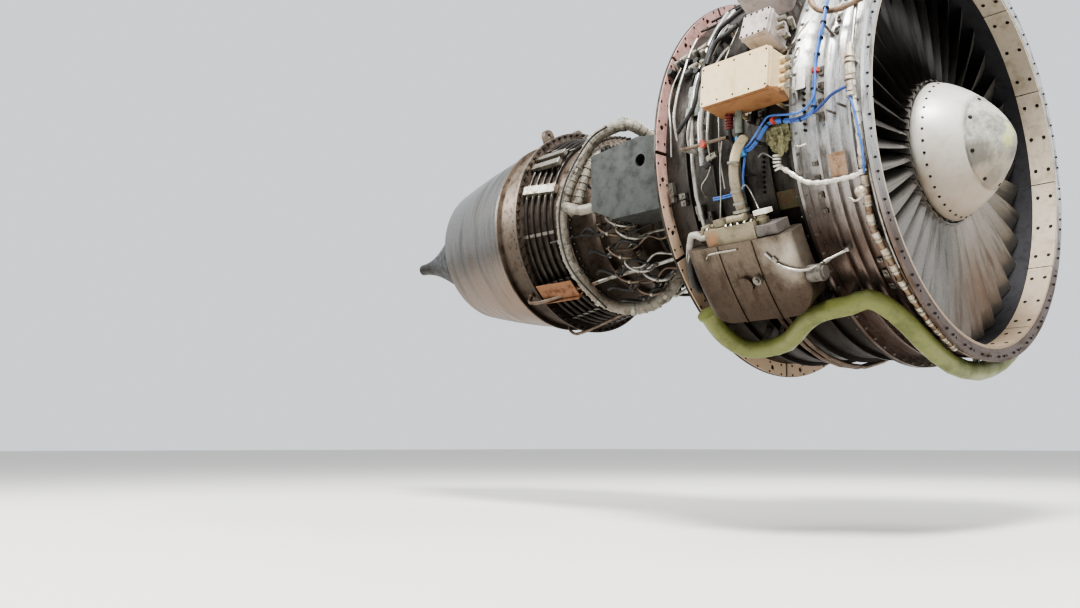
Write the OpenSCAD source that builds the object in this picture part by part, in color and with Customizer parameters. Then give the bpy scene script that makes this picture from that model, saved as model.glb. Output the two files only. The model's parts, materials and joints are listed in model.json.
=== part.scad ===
// High-bypass two-shaft turbofan jet engine, bare of its nacelle.
// The engine axis is X, with +X forward out of the inlet, +Z up and +Y to the engine's left.
// The origin is the centre of the inlet flange's front face.
// A station is a distance aft of that face. A clock angle is counted in degrees from the top
// towards the engine's right side (-Y), so 90 is the right side and 270 the left side.

/* [Fan] */
// Radius over the fan blade tips
fan_tip_r = 762; // [735:1:790]
// Radius of the blade platforms at their front edge
fan_hub_r = 285; // [275:1:300]
// Slope of the platforms, rising rearwards
fan_hub_slope = 6; // [3:0.5:8]
// Number of fan blades
fan_blade_count = 38; // [34:1:40]
// Station of the line the fan blades are stacked on
fan_station = 187; // [175:1:200]
// Chord of a fan blade at its root
root_chord = 120; // [100:1:130]
// Chord of a fan blade at its tip
tip_chord = 155; // [130:1:165]
// Angle of the blade root from the engine axis
root_stagger = 18; // [12:1:24]
// Angle of the blade tip from the engine axis
tip_stagger = 62; // [54:1:66]
// Greatest thickness of the blade root section
root_thickness = 11; // [8:0.5:13]
// Greatest thickness of the blade tip section
tip_thickness = 4; // [3:0.5:6]
// Thickness of a blade platform
platform_t = 7; // [5:0.5:8]
// Gap between neighbouring platforms
platform_gap = 1.5; // [1:0.1:3]
// Height of the blade's dovetail foot
dovetail_h = 32; // [26:1:38]
// Width of the dovetail foot at its base
dovetail_w = 25; // [21:1:27]
// Width of the dovetail's neck
dovetail_neck = 13; // [11:0.5:15]
// Gap between the blade tips and the shroud around them
tip_gap = 4; // [3:0.5:6]

/* [Fan disk] */
// Axial width of the disk's rim
disk_rim_w = 110; // [100:1:114]
// Thickness of the disk's web
disk_web_t = 34; // [24:1:44]
// Axial width of the disk's hub
disk_hub_w = 88; // [70:1:100]
// Outer radius of the disk's hub
disk_hub_r = 120; // [110:1:130]
// Inner radius of the disk's rim
disk_rim_inner_r = 212; // [205:1:220]
// Radius of the disk's bore
disk_bore_r = 66; // [60:1:72]

/* [Spinner] */
// Length of the spinner's rear cone
rear_cone_l = 148; // [130:1:165]
// Length of the spinner's nose
nose_l = 113; // [98:1:126]
// Thickness of the spinner's skins
spinner_t = 4; // [3:0.5:6]
// Roundness of the spinner's side: 1 is straight, 2 an ellipse
spinner_side = 1.4; // [1.2:0.05:1.7]
// Bluntness of the spinner's tip
spinner_blunt = 1.5; // [1.3:0.05:1.8]
// Step down from the blades' platforms to the spinner's base
spinner_step = 12; // [8:1:16]
// Width of the bolting lips inside the spinner's joints
spinner_lip = 28; // [20:1:34]

/* [Fan case] */
// Length of the inlet case, from its front flange to the frame
inlet_case_l = 280; // [270:1:300]
// Radius over the inlet flange
inlet_flange_r = 825; // [815:1:835]
// Thickness of the case's flanges
case_flange_t = 12; // [10:1:16]
// Thickness of the shroud round the blade tips
shroud_t = 12; // [9:1:15]
// Wall of the inlet case
inlet_case_wall = 8; // [6:0.5:10]
// Height of the stiffening ribs round the fan case
rib_h = 16; // [10:1:20]
// Width of a stiffening rib
rib_w = 9; // [6:1:12]
// Station of the first rib
first_rib = 70; // [64:1:76]
// Distance between ribs of the inlet case
rib_pitch = 43; // [38:1:46]
// Length of the sound-absorbing panels at the inlet's lip
lip_panel_l = 96; // [84:1:104]
// Number of sound-absorbing panels round the lip
lip_panel_count = 12; // [8:1:14]
// Gap between the sound-absorbing panels
lip_panel_gap = 4; // [2:1:8]
// Number of bolt holes in the inlet flange
inlet_bolt_count = 36; // [24:2:48]
// Radius of an inlet flange bolt hole
inlet_bolt_r = 5; // [4:0.5:6]

/* [Fan frame] */
// Length of the fan frame's outer case
frame_l = 610; // [590:1:640]
// Wall of the fan frame's outer case
frame_wall = 12; // [9:1:15]
// Height of the frame's front flange over its wall
frame_flange_h = 52; // [46:1:58]
// Number of stiffening ribs round the frame
frame_rib_count = 4; // [3:1:5]
// Height of the rim at the frame's rear over its wall
rear_rim_h = 58; // [50:1:66]
// Thickness of the panels inside the rear rim
rim_panel_t = 6; // [4:1:8]
// Number of panels inside the rear rim
rim_panel_count = 12; // [8:1:16]
// Radius of the inner wall of the fan's duct
hub_r = 390; // [384:1:396]
// Number of struts across the fan's duct
strut_count = 12; // [8:4:12]
// Chord of a strut
strut_chord = 165; // [140:1:170]
// Thickness of a strut
strut_t = 20; // [14:1:24]
// Thickness of the two struts that carry a drive shaft or services
thick_strut_t = 58; // [54:1:62]
// Number of outlet guide vanes
guide_vane_count = 60; // [48:1:64]
// Chord of an outlet guide vane
guide_vane_chord = 84; // [70:1:90]
// Station of the outlet guide vanes
guide_vane_station = 505; // [495:1:510]

/* [Booster] */
// Radius of the splitter's nose
splitter_r = 381; // [374:1:386]
// Station of the splitter's nose
splitter_station = 330; // [320:1:340]
// Outer radius of the core's air path where the booster ends
booster_exit_tip_r = 346; // [340:1:352]
// Inner radius of the core's air path where the booster ends
booster_exit_hub_r = 266; // [258:1:272]
// Number of booster rotor stages
booster_stages = 3; // [2:1:3]
// Number of blades in a booster row
booster_blade_count = 30; // [24:1:36]
// Chord of a booster blade
booster_chord = 30; // [24:1:32]

/* [Compressor] */
// Length of the high-pressure compressor's case
compressor_l = 505; // [490:1:530]
// Outer radius of the air path at the compressor's inlet
compressor_inlet_tip_r = 298; // [292:1:304]
// Outer radius of the air path at the compressor's exit
compressor_exit_tip_r = 250; // [246:1:256]
// Inner radius of the air path at the compressor's inlet
compressor_inlet_hub_r = 168; // [162:1:174]
// Inner radius of the air path at the compressor's exit
compressor_exit_hub_r = 212; // [206:1:216]
// Number of compressor rotor stages
compressor_stages = 9; // [7:1:9]
// Number of blades in a compressor row
compressor_blade_count = 16; // [12:1:20]
// Wall of the compressor case
compressor_wall = 8; // [6:0.5:10]
// Number of rings that turn the variable vanes
vane_ring_count = 4; // [3:1:4]
// Inner radius of the first vane ring
vane_ring_r = 340; // [336:1:348]
// Number of lugs on a vane ring
vane_ring_lugs = 24; // [16:2:30]

/* [Combustor] */
// Length of the combustor's case
combustor_l = 265; // [255:1:280]
// Inner radius of the combustor's case
combustor_r = 352; // [348:1:360]
// Wall of the combustor's case
combustor_wall = 8; // [6:0.5:10]
// Number of fuel nozzles
fuel_nozzle_count = 20; // [16:2:22]
// Radius of the ring that the fuel nozzles spray from
fuel_ring_r = 282; // [276:1:288]
// Thickness of the flame tube's walls
liner_t = 3; // [2:0.5:4]

/* [Turbines] */
// Length of the high-pressure turbine's case
core_turbine_l = 130; // [124:1:140]
// Inner radius of the gas path at the high-pressure turbine
core_turbine_hub_r = 303; // [298:1:306]
// Outer radius of the gas path at the high-pressure turbine
core_turbine_tip_r = 345; // [342:1:348]
// Number of high-pressure turbine blades
core_turbine_blade_count = 64; // [48:1:72]
// Length of the low-pressure turbine's case
lpt_l = 280; // [270:1:300]
// Inner radius of the low-pressure turbine's case at its front
lpt_front_r = 424; // [418:1:430]
// Inner radius of the low-pressure turbine's case at its rear
lpt_rear_r = 482; // [476:1:486]
// Inner radius of the gas path in the low-pressure turbine
lpt_hub_r = 330; // [324:1:336]
// Number of low-pressure turbine stages
lpt_stages = 4; // [3:1:4]
// Number of blades in a low-pressure turbine row
lpt_blade_count = 36; // [30:1:44]
// Wall of the turbine cases
turbine_wall = 6; // [5:0.5:8]
// Number of cooling tubes round the low-pressure turbine's case
cooling_tube_count = 5; // [3:1:5]
// Outer diameter of a cooling tube
cooling_tube_d = 20; // [14:1:24]

/* [Exhaust] */
// Length of the turbine's rear frame
rear_frame_l = 180; // [170:1:200]
// Radius over the rear frame's flanges
rear_flange_r = 510; // [504:1:516]
// Number of struts in the rear frame
rear_strut_count = 12; // [8:1:14]
// Radius of the rear frame's hub
rear_hub_r = 300; // [292:1:304]
// Length of the exhaust nozzle
nozzle_l = 600; // [560:1:640]
// Outer radius of the exhaust nozzle at its exit
nozzle_exit_r = 388; // [375:1:400]
// Sheet thickness of the nozzle and the plug
exhaust_sheet = 3; // [2:0.5:4]
// Length of the plug, from the rear frame to its tip
plug_l = 1350; // [1250:1:1400]
// Radius of the plug's blunt tip
plug_tip_r = 34; // [28:1:40]
// How quickly the plug narrows: 1 is a straight cone
plug_flare = 2.25; // [1.8:0.05:2.6]

/* [Shafts] */
// Radius of the fan's shaft at its bearings
fan_shaft_r = 98; // [92:1:100]
// Radius of the long low-pressure shaft
lp_shaft_r = 40; // [36:1:42]
// Bore of the low-pressure shaft
lp_shaft_bore_r = 28; // [24:1:30]
// Radius of the high-pressure shaft ahead of its compressor
core_stub_r = 58; // [56:1:60]
// Inner radius of the high-pressure shaft
core_bore_r = 50; // [46:1:52]
// Radius of the bevel gears at the middle of their teeth
bevel_r = 78; // [74:1:80]
// Number of teeth of each bevel gear
bevel_teeth = 24; // [20:4:24]
// Width of the bevel gears' teeth across their pitch line
bevel_tooth_w = 6; // [4:0.5:7]
// Radius of the shaft that drives the gearboxes
radial_shaft_r = 13; // [10:1:15]
// Clearance round the shaft that drives the gearboxes
radial_shaft_gap = 6; // [4:1:8]

/* [Accessories] */
// Axial length of the control box
control_box_l = 280; // [250:1:290]
// Width of the control box round the case
control_box_w = 155; // [130:1:165]
// Depth of the control box
control_box_d = 128; // [110:1:135]
// Clearance between the fan case's flanges and the boxes on it
box_standoff = 42; // [36:1:50]
// Station of the oil tank's front end
tank_station = 272; // [268:1:276]
// Axial length of the oil tank
tank_l = 440; // [410:1:450]
// Depth of the oil tank
tank_d = 140; // [120:1:150]
// Clock angle of the oil tank's top
tank_top_clock = 116; // [115:0.5:117]
// Clock angle of the oil tank's bottom
tank_bottom_clock = 134; // [132:0.5:135]
// Rounding of the oil tank's outer edges
tank_round = 46; // [30:1:52]
// Rounding of the oil tank's lower corners
tank_corner_r = 100; // [80:1:110]
// Diameter of the oil filler's cap
oil_cap_d = 62; // [50:1:70]
// Diameter of the air duct to the starter
air_duct_d = 72; // [66:1:76]
// Clearance between the fan frame's wall and the accessory gearbox
gearbox_standoff = 72; // [68:1:80]
// Axial thickness of the accessory gearbox
gearbox_t = 118; // [100:1:124]
// Depth of the accessory gearbox
gearbox_d = 128; // [110:1:140]
// Diameter of the starter
starter_d = 168; // [150:1:176]
// Diameter of the generator
generator_d = 226; // [200:1:236]
// Diameter of the hydraulic pump
hydraulic_pump_d = 132; // [110:1:140]
// Diameter of the fuel pump's flange
fuel_pump_d = 176; // [160:1:180]
// Diameter of the hot air manifold round the core
bleed_d = 56; // [50:1:60]
// Width of the forward mount's top plate, across the engine
mount_plate_w = 260; // [230:1:280]
// Radius of the mount's bolt holes
mount_bolt_r = 13; // [11:0.5:14]
// Radius of the pin holes in the rear mount's lugs
lug_hole_r = 13; // [11:0.5:14]

/* [Hidden] */
$fn = 96;

// Clearance at which one fixed piece sits on a curved seat
seat = 0.3;
// Running clearance between a rotor and the parts that stand still
run = 3;
// Width of the joint between two runs of a pipe
pipe_joint = 0.5;

// Stations of the joints between the engine's modules, counted aft
frame_front = inlet_case_l;
frame_rear = frame_front + frame_l;
compressor_rear = frame_rear + compressor_l;
combustor_rear = compressor_rear + combustor_l;
core_turbine_rear = combustor_rear + core_turbine_l;
lpt_rear = core_turbine_rear + lpt_l;
rear_frame_rear = lpt_rear + rear_frame_l;

// Turns a profile of [radius, x] points about the engine axis
module turned(profile) {
    rotate([0, 90, 0])
        rotate_extrude()
            polygon(profile);
}

// Turns the same kind of profile only between two clock angles
module sector(profile, clock0, clock1) {
    rotate([clock0 - 180, 0, 0])
        rotate([0, 90, 0])
            rotate_extrude(angle = clock1 - clock0)
                polygon(profile);
}

// A plain ring of rectangular section between two stations
function ring_profile(r0, r1, front, rear) = [
    [r0, -front], [r1, -front], [r1, -rear], [r0, -rear]
];

module ring(r0, r1, front, rear) {
    turned(ring_profile(r0, r1, front, rear));
}

// Moves children to a clock angle, radius and station: their Z points outwards there
module at_clock(clock, r = 0, station = 0) {
    rotate([clock, 0, 0])
        translate([-station, 0, r])
            children();
}

module around(count, phase = 0) {
    for (i = [0 : count - 1])
        rotate([360 * i / count + phase, 0, 0])
            children();
}

// A cylinder along the engine axis, from one station aft to another
module barrel(d, front, rear) {
    translate([-rear, 0, 0])
        rotate([0, 90, 0])
            cylinder(d = d, h = rear - front);
}

function mix(a, b, t) = a + (b - a) * t;

function unit(v) = v / norm(v);

// Profile points of ribs standing on a wall of radius r, in order going aft
function rib_points(r, h, w, stations) = [
    for (s = stations)
        each [[r, w / 2 - s], [r + h, w / 2 - s], [r + h, -w / 2 - s], [r, -w / 2 - s]]
];

// Section of a curved vane: its nose points to +X and its belly bends it by camber
function vane_section(chord, thickness, camber) = [
    [chord / 2, 0],
    [chord * 0.15, camber + thickness / 2],
    [-chord * 0.2, camber * 0.8 + thickness * 0.4],
    [-chord / 2, 0],
    [-chord * 0.2, camber * 0.8 - thickness * 0.4],
    [chord * 0.15, camber - thickness / 2]
];

// The same in four sides, for the small blades inside the core
function blade_section(chord, thickness, camber) = [
    [chord / 2, 0],
    [0, camber + thickness / 2],
    [-chord / 2, 0],
    [0, camber - thickness / 2]
];

// One ring of straight radial vanes between two radii
module vane_row(count, station, r0, r1, section, stagger) {
    around(count)
        translate([-station, 0, r0])
            linear_extrude(height = r1 - r0)
                rotate(-stagger)
                    polygon(section);
}

// Largest half-width that a vane takes up round the engine
function vane_half_width(chord, camber, stagger) =
    chord / 2 * abs(sin(stagger)) + abs(camber) * cos(stagger);

// Radius of the flat top of a vane that has to fit inside a round wall
function under_wall(wall_r, half_width, gap) =
    sqrt(pow(wall_r - gap, 2) - pow(half_width, 2));

// Point of a pipe's route, from [station, clock, radius]
function route_point(p) = [-p[0], -p[2] * sin(p[1]), p[2] * cos(p[1])];

function curve_point(p0, p1, p2, p3, t) = 0.5 * (2 * p1 + (p2 - p0) * t
    + (2 * p0 - 5 * p1 + 4 * p2 - p3) * t * t + (3 * p1 - p0 - 3 * p2 + p3) * t * t * t);

// Smooth curve through the points, with a number of steps between neighbours
function smooth_route(pts, steps) = let (last = len(pts) - 1) [
    for (i = [0 : last - 1], k = [0 : steps - 1])
        curve_point(pts[max(i - 1, 0)], pts[i], pts[i + 1], pts[min(i + 2, last)], k / steps),
    pts[last]
];

function route_tangents(pts) = let (last = len(pts) - 1) [
    for (i = [0 : last])
        unit(pts[min(i + 1, last)] - pts[max(i - 1, 0)])
];

// Carries a side direction along the route without twisting it
function carried_sides(tangents, i, side) = i >= len(tangents) ? [] :
    let (s = unit(side - tangents[i] * (side * tangents[i])))
        concat([s], carried_sides(tangents, i + 1, s));

// A pipe, hose or loom swept along a route of [station, clock, radius] points
module pipe(d, route, steps = 3, sides = 8) {
    path = smooth_route([for (p = route) route_point(p)], steps);
    tube(d, path, route_tangents(path), sides);
}

module tube(d, path, tangents, sides) {
    first_side = abs(tangents[0].x) < 0.8 ? [1, 0.1, 0] : [0.1, 0.6, 0.8];
    side = carried_sides(tangents, 0, first_side);
    rings = len(path);
    points = [
        for (i = [0 : rings - 1], k = [0 : sides - 1])
            path[i] + d / 2 * (cos(360 * k / sides) * side[i]
                + sin(360 * k / sides) * cross(tangents[i], side[i]))
    ];
    skin = [
        for (i = [0 : rings - 2], k = [0 : sides - 1])
            let (a = i * sides + k, b = i * sides + (k + 1) % sides)
                each [[a, a + sides, b + sides], [a, b + sides, b]]
    ];
    first_cap = [for (k = [0 : sides - 1]) k];
    last_cap = [for (k = [sides - 1 : -1 : 0]) (rings - 1) * sides + k];
    polyhedron(points, concat(skin, [first_cap, last_cap]), convexity = 6);
}

// A long pipe made in runs, which meet at narrow joints midway between its route's points
module pipe_runs(d, route, run_steps, sides = 6) {
    path = smooth_route([for (p = route) route_point(p)], 2);
    tangents = route_tangents(path);
    last = len(path) - 1;
    cuts = concat([0], [for (i = [run_steps - 1 : run_steps : last - 2]) i], [last]);
    for (i = [0 : len(cuts) - 2]) {
        start = cuts[i];
        end = cuts[i + 1];
        drawn_back = end < last ? pipe_joint : 0;
        tube(d, [
            for (k = [start : end])
                k < end ? path[k] : path[k] - drawn_back * tangents[k]
        ], [for (k = [start : end]) tangents[k]], sides);
    }
}

// Whether a route goes far round the case
function goes_far(route) = abs(route[len(route) - 1][1] - route[0][1]) > 30;

// A clip that stands on the case and holds a pipe running over it
module clip(p, foot_r, w = 12) {
    at_clock(p[1], foot_r + seat, p[0])
        translate([-w / 2, -w / 2, 0])
            cube([w, w, p[2] - foot_r]);
}

// Fan rotor sizes that follow from the blades
root_axial = root_chord * cos(root_stagger);
platform_l = root_axial + 14;
platform_front = fan_station - platform_l / 2;
platform_rear = fan_station + platform_l / 2;
platform_w = 2 * (fan_hub_r - platform_t) * tan(180 / fan_blade_count) - platform_gap;
platform_tooth = 8;
neck_l = 84;
rim_r = fan_hub_r - platform_t - 4;
disk_front = fan_station - disk_rim_w / 2;
disk_rear = fan_station + disk_rim_w / 2;
disk_hub_rear = fan_station + disk_hub_w / 2;
blade_stations = 6;

function platform_top(station) =
    fan_hub_r + (station - platform_front) * tan(fan_hub_slope);

// One corner of a fan blade's section, at a share of its span
function blade_corner(span, k) =
    let (chord = mix(root_chord, tip_chord, span),
         turn = mix(root_stagger, tip_stagger, pow(span, 0.85)),
         thickness = mix(root_thickness, tip_thickness, span),
         bend = chord * mix(0.13, 0.03, span),
         section = [[0.5, 0, 0], [0.27, 0.7, 0.4], [-0.02, 1, 0.5], [-0.28, 0.68, 0.34],
                    [-0.5, 0, 0], [-0.28, 0.68, -0.34], [-0.02, 1, -0.5], [0.27, 0.7, -0.4]],
         along = section[k][0] * chord,
         across = section[k][1] * bend + section[k][2] * thickness,
         x = -fan_station + along * cos(turn) + across * sin(turn),
         y = -along * sin(turn) + across * cos(turn),
         r = mix(fan_hub_r, fan_tip_r, span))
        [x, y, span == 0 ? platform_top(-x) - platform_t * 0.3 : sqrt(r * r - y * y)];

// The twisted blade, lofted through its sections from root to tip
module blade_airfoil() {
    corners = 8;
    points = [
        for (i = [0 : blade_stations - 1], k = [0 : corners - 1])
            blade_corner(i / (blade_stations - 1), k)
    ];
    skin = [
        for (i = [0 : blade_stations - 2], k = [0 : corners - 1])
            let (a = i * corners + k, b = i * corners + (k + 1) % corners)
                each [[a, b + corners, b], [a, a + corners, b + corners]]
    ];
    top = (blade_stations - 1) * corners;
    foot_cap = [for (k = [1 : corners - 2]) [0, k, k + 1]];
    tip_cap = [for (k = [1 : corners - 2]) [top, top + k + 1, top + k]];
    polyhedron(points, concat(skin, foot_cap, tip_cap), convexity = 4);
}

// Plan of a platform: a parallelogram skewed along the blade, with a stepped front edge
module platform_plan() {
    front_shift = -(platform_l / 2) * tan(root_stagger);
    polygon([
        [-platform_front, front_shift - platform_w / 2],
        [-platform_front - platform_tooth, front_shift + platform_w / 2],
        [-platform_rear, -front_shift + platform_w / 2],
        [-platform_rear + platform_tooth, -front_shift - platform_w / 2]
    ]);
}

// Side view of a block under the platforms' top, extruded across the blade
module platform_block(front, rear, top_drop, bottom_front, bottom_rear, width) {
    rotate([90, 0, 0])
        linear_extrude(height = width, center = true)
            polygon([
                [-front, platform_top(front) - top_drop],
                [-rear, platform_top(rear) - top_drop],
                [-rear, bottom_rear],
                [-front, bottom_front]
            ]);
}

// Dovetail outline, grown by the clearance where it is a slot
module dovetail_outline(grow, top) {
    flare = 8;
    neck_z = rim_r - 9;
    polygon([
        [-dovetail_neck / 2 - grow, top],
        [dovetail_neck / 2 + grow, top],
        [dovetail_neck / 2 + grow, neck_z],
        [dovetail_w / 2 + grow, neck_z - flare],
        [dovetail_w / 2 + grow, rim_r - dovetail_h - grow],
        [-dovetail_w / 2 - grow, rim_r - dovetail_h - grow],
        [-dovetail_w / 2 - grow, neck_z - flare],
        [-dovetail_neck / 2 - grow, neck_z]
    ]);
}

// Runs an outline of [across, radius] points along the engine axis
module along_axis(front, rear) {
    translate([-rear, 0, 0])
        rotate([90, 0, 90])
            linear_extrude(height = rear - front)
                children();
}

module fan_blades() {
    neck_front = fan_station - neck_l / 2;
    neck_rear = fan_station + neck_l / 2;
    color("#8f9296")
        around(fan_blade_count)
            union() {
                blade_airfoil();
                intersection() {
                    platform_block(platform_front, platform_rear, 0,
                        platform_top(platform_front) - platform_t,
                        platform_top(platform_rear) - platform_t, 3 * platform_w);
                    translate([0, 0, rim_r / 2])
                        linear_extrude(height = fan_hub_r)
                            platform_plan();
                }
                platform_block(neck_front, neck_rear, platform_t * 0.7, rim_r - 6, rim_r - 6,
                    dovetail_neck - 2);
                along_axis(disk_front, disk_rear)
                    dovetail_outline(0, rim_r);
            }
}

module fan_disk() {
    web_rim = 14;
    half = [
        [disk_bore_r, disk_hub_w / 2],
        [disk_hub_r, disk_hub_w / 2],
        [disk_hub_r + web_rim, disk_web_t / 2],
        [disk_rim_inner_r - web_rim, disk_web_t / 2],
        [disk_rim_inner_r, disk_rim_w / 2],
        [rim_r, disk_rim_w / 2]
    ];
    profile = concat(
        [for (p = half) [p[0], p[1] - fan_station]],
        [for (i = [len(half) - 1 : -1 : 0]) [half[i][0], -half[i][1] - fan_station]]
    );
    color("#6d7075")
        difference() {
            turned(profile);
            around(fan_blade_count)
                along_axis(disk_front - 1, disk_rear + 1)
                    dovetail_outline(seat, rim_r + web_rim);
        }
}

// Spinner outline: a blunt ogive from the platforms to the nose
spinner_gap = 5;
spinner_base = platform_front - spinner_gap;
spinner_l = rear_cone_l + nose_l;
spinner_steps = 7;
spinner_flange_t = 6;

function spinner_r(ahead) = (fan_hub_r - spinner_step)
    * pow(1 - pow(ahead / spinner_l, spinner_side), 1 / spinner_blunt);

module spinner_nose() {
    seam_r = spinner_r(rear_cone_l);
    seam_x = rear_cone_l - spinner_base;
    outer = [
        for (i = [0 : spinner_steps])
            let (ahead = rear_cone_l + nose_l * sin(90 * i / spinner_steps))
                [spinner_r(ahead), ahead - spinner_base]
    ];
    inner = [
        for (i = [spinner_steps - 1 : -1 : 1])
            let (ahead = rear_cone_l + nose_l * sin(90 * i / spinner_steps))
                [max(spinner_r(ahead) - spinner_t * 1.6, 0.5), ahead - spinner_base - spinner_t]
    ];
    color("#b9bab6")
        turned(concat(
            outer,
            [[0, spinner_l - spinner_base - spinner_t * 1.5]],
            inner,
            [[seam_r - spinner_t, seam_x + spinner_flange_t],
             [seam_r - spinner_lip, seam_x + spinner_flange_t],
             [seam_r - spinner_lip, seam_x]]
        ));
}

module spinner_rear_cone() {
    seam_r = spinner_r(rear_cone_l);
    seam_x = rear_cone_l - spinner_base;
    foot_r = rim_r - 10;
    outer = [
        for (i = [0 : spinner_steps])
            let (ahead = rear_cone_l * i / spinner_steps)
                [spinner_r(ahead), ahead - spinner_base]
    ];
    inner = [
        for (i = [spinner_steps - 1 : -1 : 0])
            let (ahead = rear_cone_l * i / spinner_steps)
                [spinner_r(ahead) - spinner_t, ahead - spinner_base]
    ];
    color("#c4c4bf")
        turned(concat(
            outer,
            [[seam_r - spinner_lip, seam_x],
             [seam_r - spinner_lip, seam_x - spinner_flange_t],
             [seam_r - spinner_t, seam_x - spinner_flange_t]],
            inner,
            [[foot_r - spinner_flange_t, spinner_flange_t - disk_front],
             [disk_rim_inner_r, spinner_flange_t - disk_front],
             [disk_rim_inner_r, -disk_front],
             [foot_r, -disk_front]]
        ));
}

// Station of the fan frame's hub, and the core's air path through booster and hub
frame_hub_l = frame_rear - guide_vane_station - guide_vane_chord / 2 - 13;
hub_front = frame_rear - frame_hub_l;
booster_skin_t = 5;
booster_first = splitter_station + 24;
booster_pitch = (hub_front - 14 - booster_first) / (2 * booster_stages);
drum_front = platform_rear + 9;

function booster_hub_radius(station) = mix(platform_top(platform_rear), booster_exit_hub_r,
    (station - drum_front) / (hub_front - drum_front));

function booster_tip_radius(station) = mix(splitter_r - booster_skin_t, booster_exit_tip_r,
    (station - splitter_station - 8) / (hub_front - splitter_station - 8));

booster_stagger = 34;
booster_camber = 4;
booster_vane_t = 4;

module booster_drum() {
    drum_rear = hub_front - 12;
    wall = 7;
    foot_t = 8;
    foot_r = rim_r - 10;
    color("#7d7f83")
        turned([
            [booster_hub_radius(drum_front), -drum_front],
            [booster_hub_radius(drum_rear), -drum_rear],
            [booster_hub_radius(drum_rear) - wall, -drum_rear],
            [booster_hub_radius(drum_front) - wall, -drum_front - foot_t],
            [foot_r, -disk_rear - foot_t],
            [disk_rim_inner_r, -disk_rear - foot_t],
            [disk_rim_inner_r, -disk_rear],
            [foot_r, -disk_rear]
        ]);
}

// A booster row between the drum and its case, with a chosen gap at each end
module booster_row(i, hub_gap, tip_gap_here, stagger) {
    station = booster_first + i * booster_pitch;
    half = booster_chord / 2 * cos(stagger) + 1;
    width = vane_half_width(booster_chord, booster_camber, stagger);
    vane_row(booster_blade_count, station,
        booster_hub_radius(station - half) + hub_gap,
        under_wall(booster_tip_radius(station + half), width, tip_gap_here),
        vane_section(booster_chord, booster_vane_t, booster_camber), stagger);
}

module booster_blades() {
    color("#85888c")
        for (i = [1 : 2 : 2 * booster_stages - 1])
            booster_row(i, seat, run, booster_stagger);
}

module booster_vanes() {
    color("#8d8f92")
        for (i = [0 : 2 : 2 * booster_stages])
            booster_row(i, run, seat, -booster_stagger / 2);
}

module booster_case() {
    nose_l = 80;
    join = 40;
    flange_w = 26;
    flange_t = 8;
    color("#9a9b9c")
        turned([
            [splitter_r, -splitter_station],
            [hub_r, -splitter_station - nose_l],
            [hub_r, -hub_front],
            [hub_r - booster_skin_t, -hub_front],
            [hub_r - booster_skin_t, -splitter_station - nose_l],
            [booster_tip_radius(splitter_station + join) + booster_skin_t,
                -splitter_station - join],
            [booster_exit_tip_r + booster_skin_t, flange_t - hub_front],
            [booster_exit_tip_r + flange_w, flange_t - hub_front],
            [booster_exit_tip_r + flange_w, -hub_front],
            [booster_exit_tip_r, -hub_front],
            [splitter_r - booster_skin_t, -splitter_station - 8]
        ]);
}

// Stations along the shafts
ball_bearing = hub_front + 30;
roller_bearing = hub_front + 85;
bevel_station = frame_rear - 120;
core_stub_front = bevel_station + bevel_r - 22;
core_bearing = frame_rear - 14;
core_drum_front = frame_rear + 12;
core_drum_rear = compressor_rear - 5;
core_joint = combustor_rear - 20;
lpt_pitch = (lpt_l - 16) / lpt_stages;
lp_joint = core_turbine_rear + 8 + 2 * lpt_pitch + 10;
rear_bearing = lpt_rear + 58;
bearing_w = 20;
ball_d = 16;
core_shaft_r = core_stub_r + 8;
rear_stub_r = 62;

module lp_shaft() {
    flange_t = 12;
    flange_r = disk_hub_r - 4;
    tube_t = 14;
    taper_start = roller_bearing + 25;
    turned_end = lp_joint + flange_t;
    color("#74777b")
        turned([
            [flange_r, -disk_hub_rear],
            [flange_r, -disk_hub_rear - flange_t],
            [fan_shaft_r, -disk_hub_rear - 2 * flange_t],
            [fan_shaft_r, -taper_start],
            [lp_shaft_r, -taper_start - 40],
            [lp_shaft_r, -lp_joint],
            [rear_stub_r + 30, -lp_joint],
            [rear_stub_r + 30, -turned_end],
            [lp_shaft_bore_r, -turned_end],
            [lp_shaft_bore_r, -taper_start - 24],
            [fan_shaft_r - tube_t, -taper_start + 16],
            [fan_shaft_r - tube_t, -disk_hub_rear]
        ]);
}

module lp_turbine_rotor() {
    web_t = 10;
    rim_w = 34;
    drum_r = lpt_hub_r - 8;
    web_front = lp_joint + 12;
    color("#6b6763")
        union() {
            for (i = [0 : lpt_stages - 1]) {
                station = lpt_blade_station(i);
                ring(lpt_hub_r - 90, lpt_hub_r - 2, station - web_t / 2, station + web_t / 2);
                ring(lpt_hub_r - 14, lpt_hub_r, station - rim_w / 2, station + rim_w / 2);
            }
            ring(drum_r - 6, drum_r, lpt_blade_station(0), lpt_blade_station(lpt_stages - 1));
            ring(rear_stub_r - 14, drum_r - 2, web_front, web_front + web_t);
            ring(rear_stub_r - 14, rear_stub_r, web_front, rear_bearing + 30);
        }
}

function lpt_vane_station(i) = core_turbine_rear + 8 + lpt_pitch * (i + 0.27);

function lpt_blade_station(i) = core_turbine_rear + 8 + lpt_pitch * (i + 0.75);

function lpt_case_radius(station) =
    mix(lpt_front_r, lpt_rear_r, (station - core_turbine_rear) / lpt_l);

turbine_chord = 30;
turbine_stagger = 32;
turbine_camber = 6;
turbine_blade_t = 5;

module lpt_row(station, r0, gap, stagger) {
    half = turbine_chord / 2 * cos(stagger) + 2;
    width = vane_half_width(turbine_chord, turbine_camber, stagger);
    vane_row(lpt_blade_count, station, r0,
        under_wall(lpt_case_radius(station - half), width, gap),
        blade_section(turbine_chord, turbine_blade_t, turbine_camber), stagger);
}

module lp_turbine_blades() {
    color("#77716a")
        for (i = [0 : lpt_stages - 1])
            lpt_row(lpt_blade_station(i), lpt_hub_r + seat, run, turbine_stagger);
}

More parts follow.
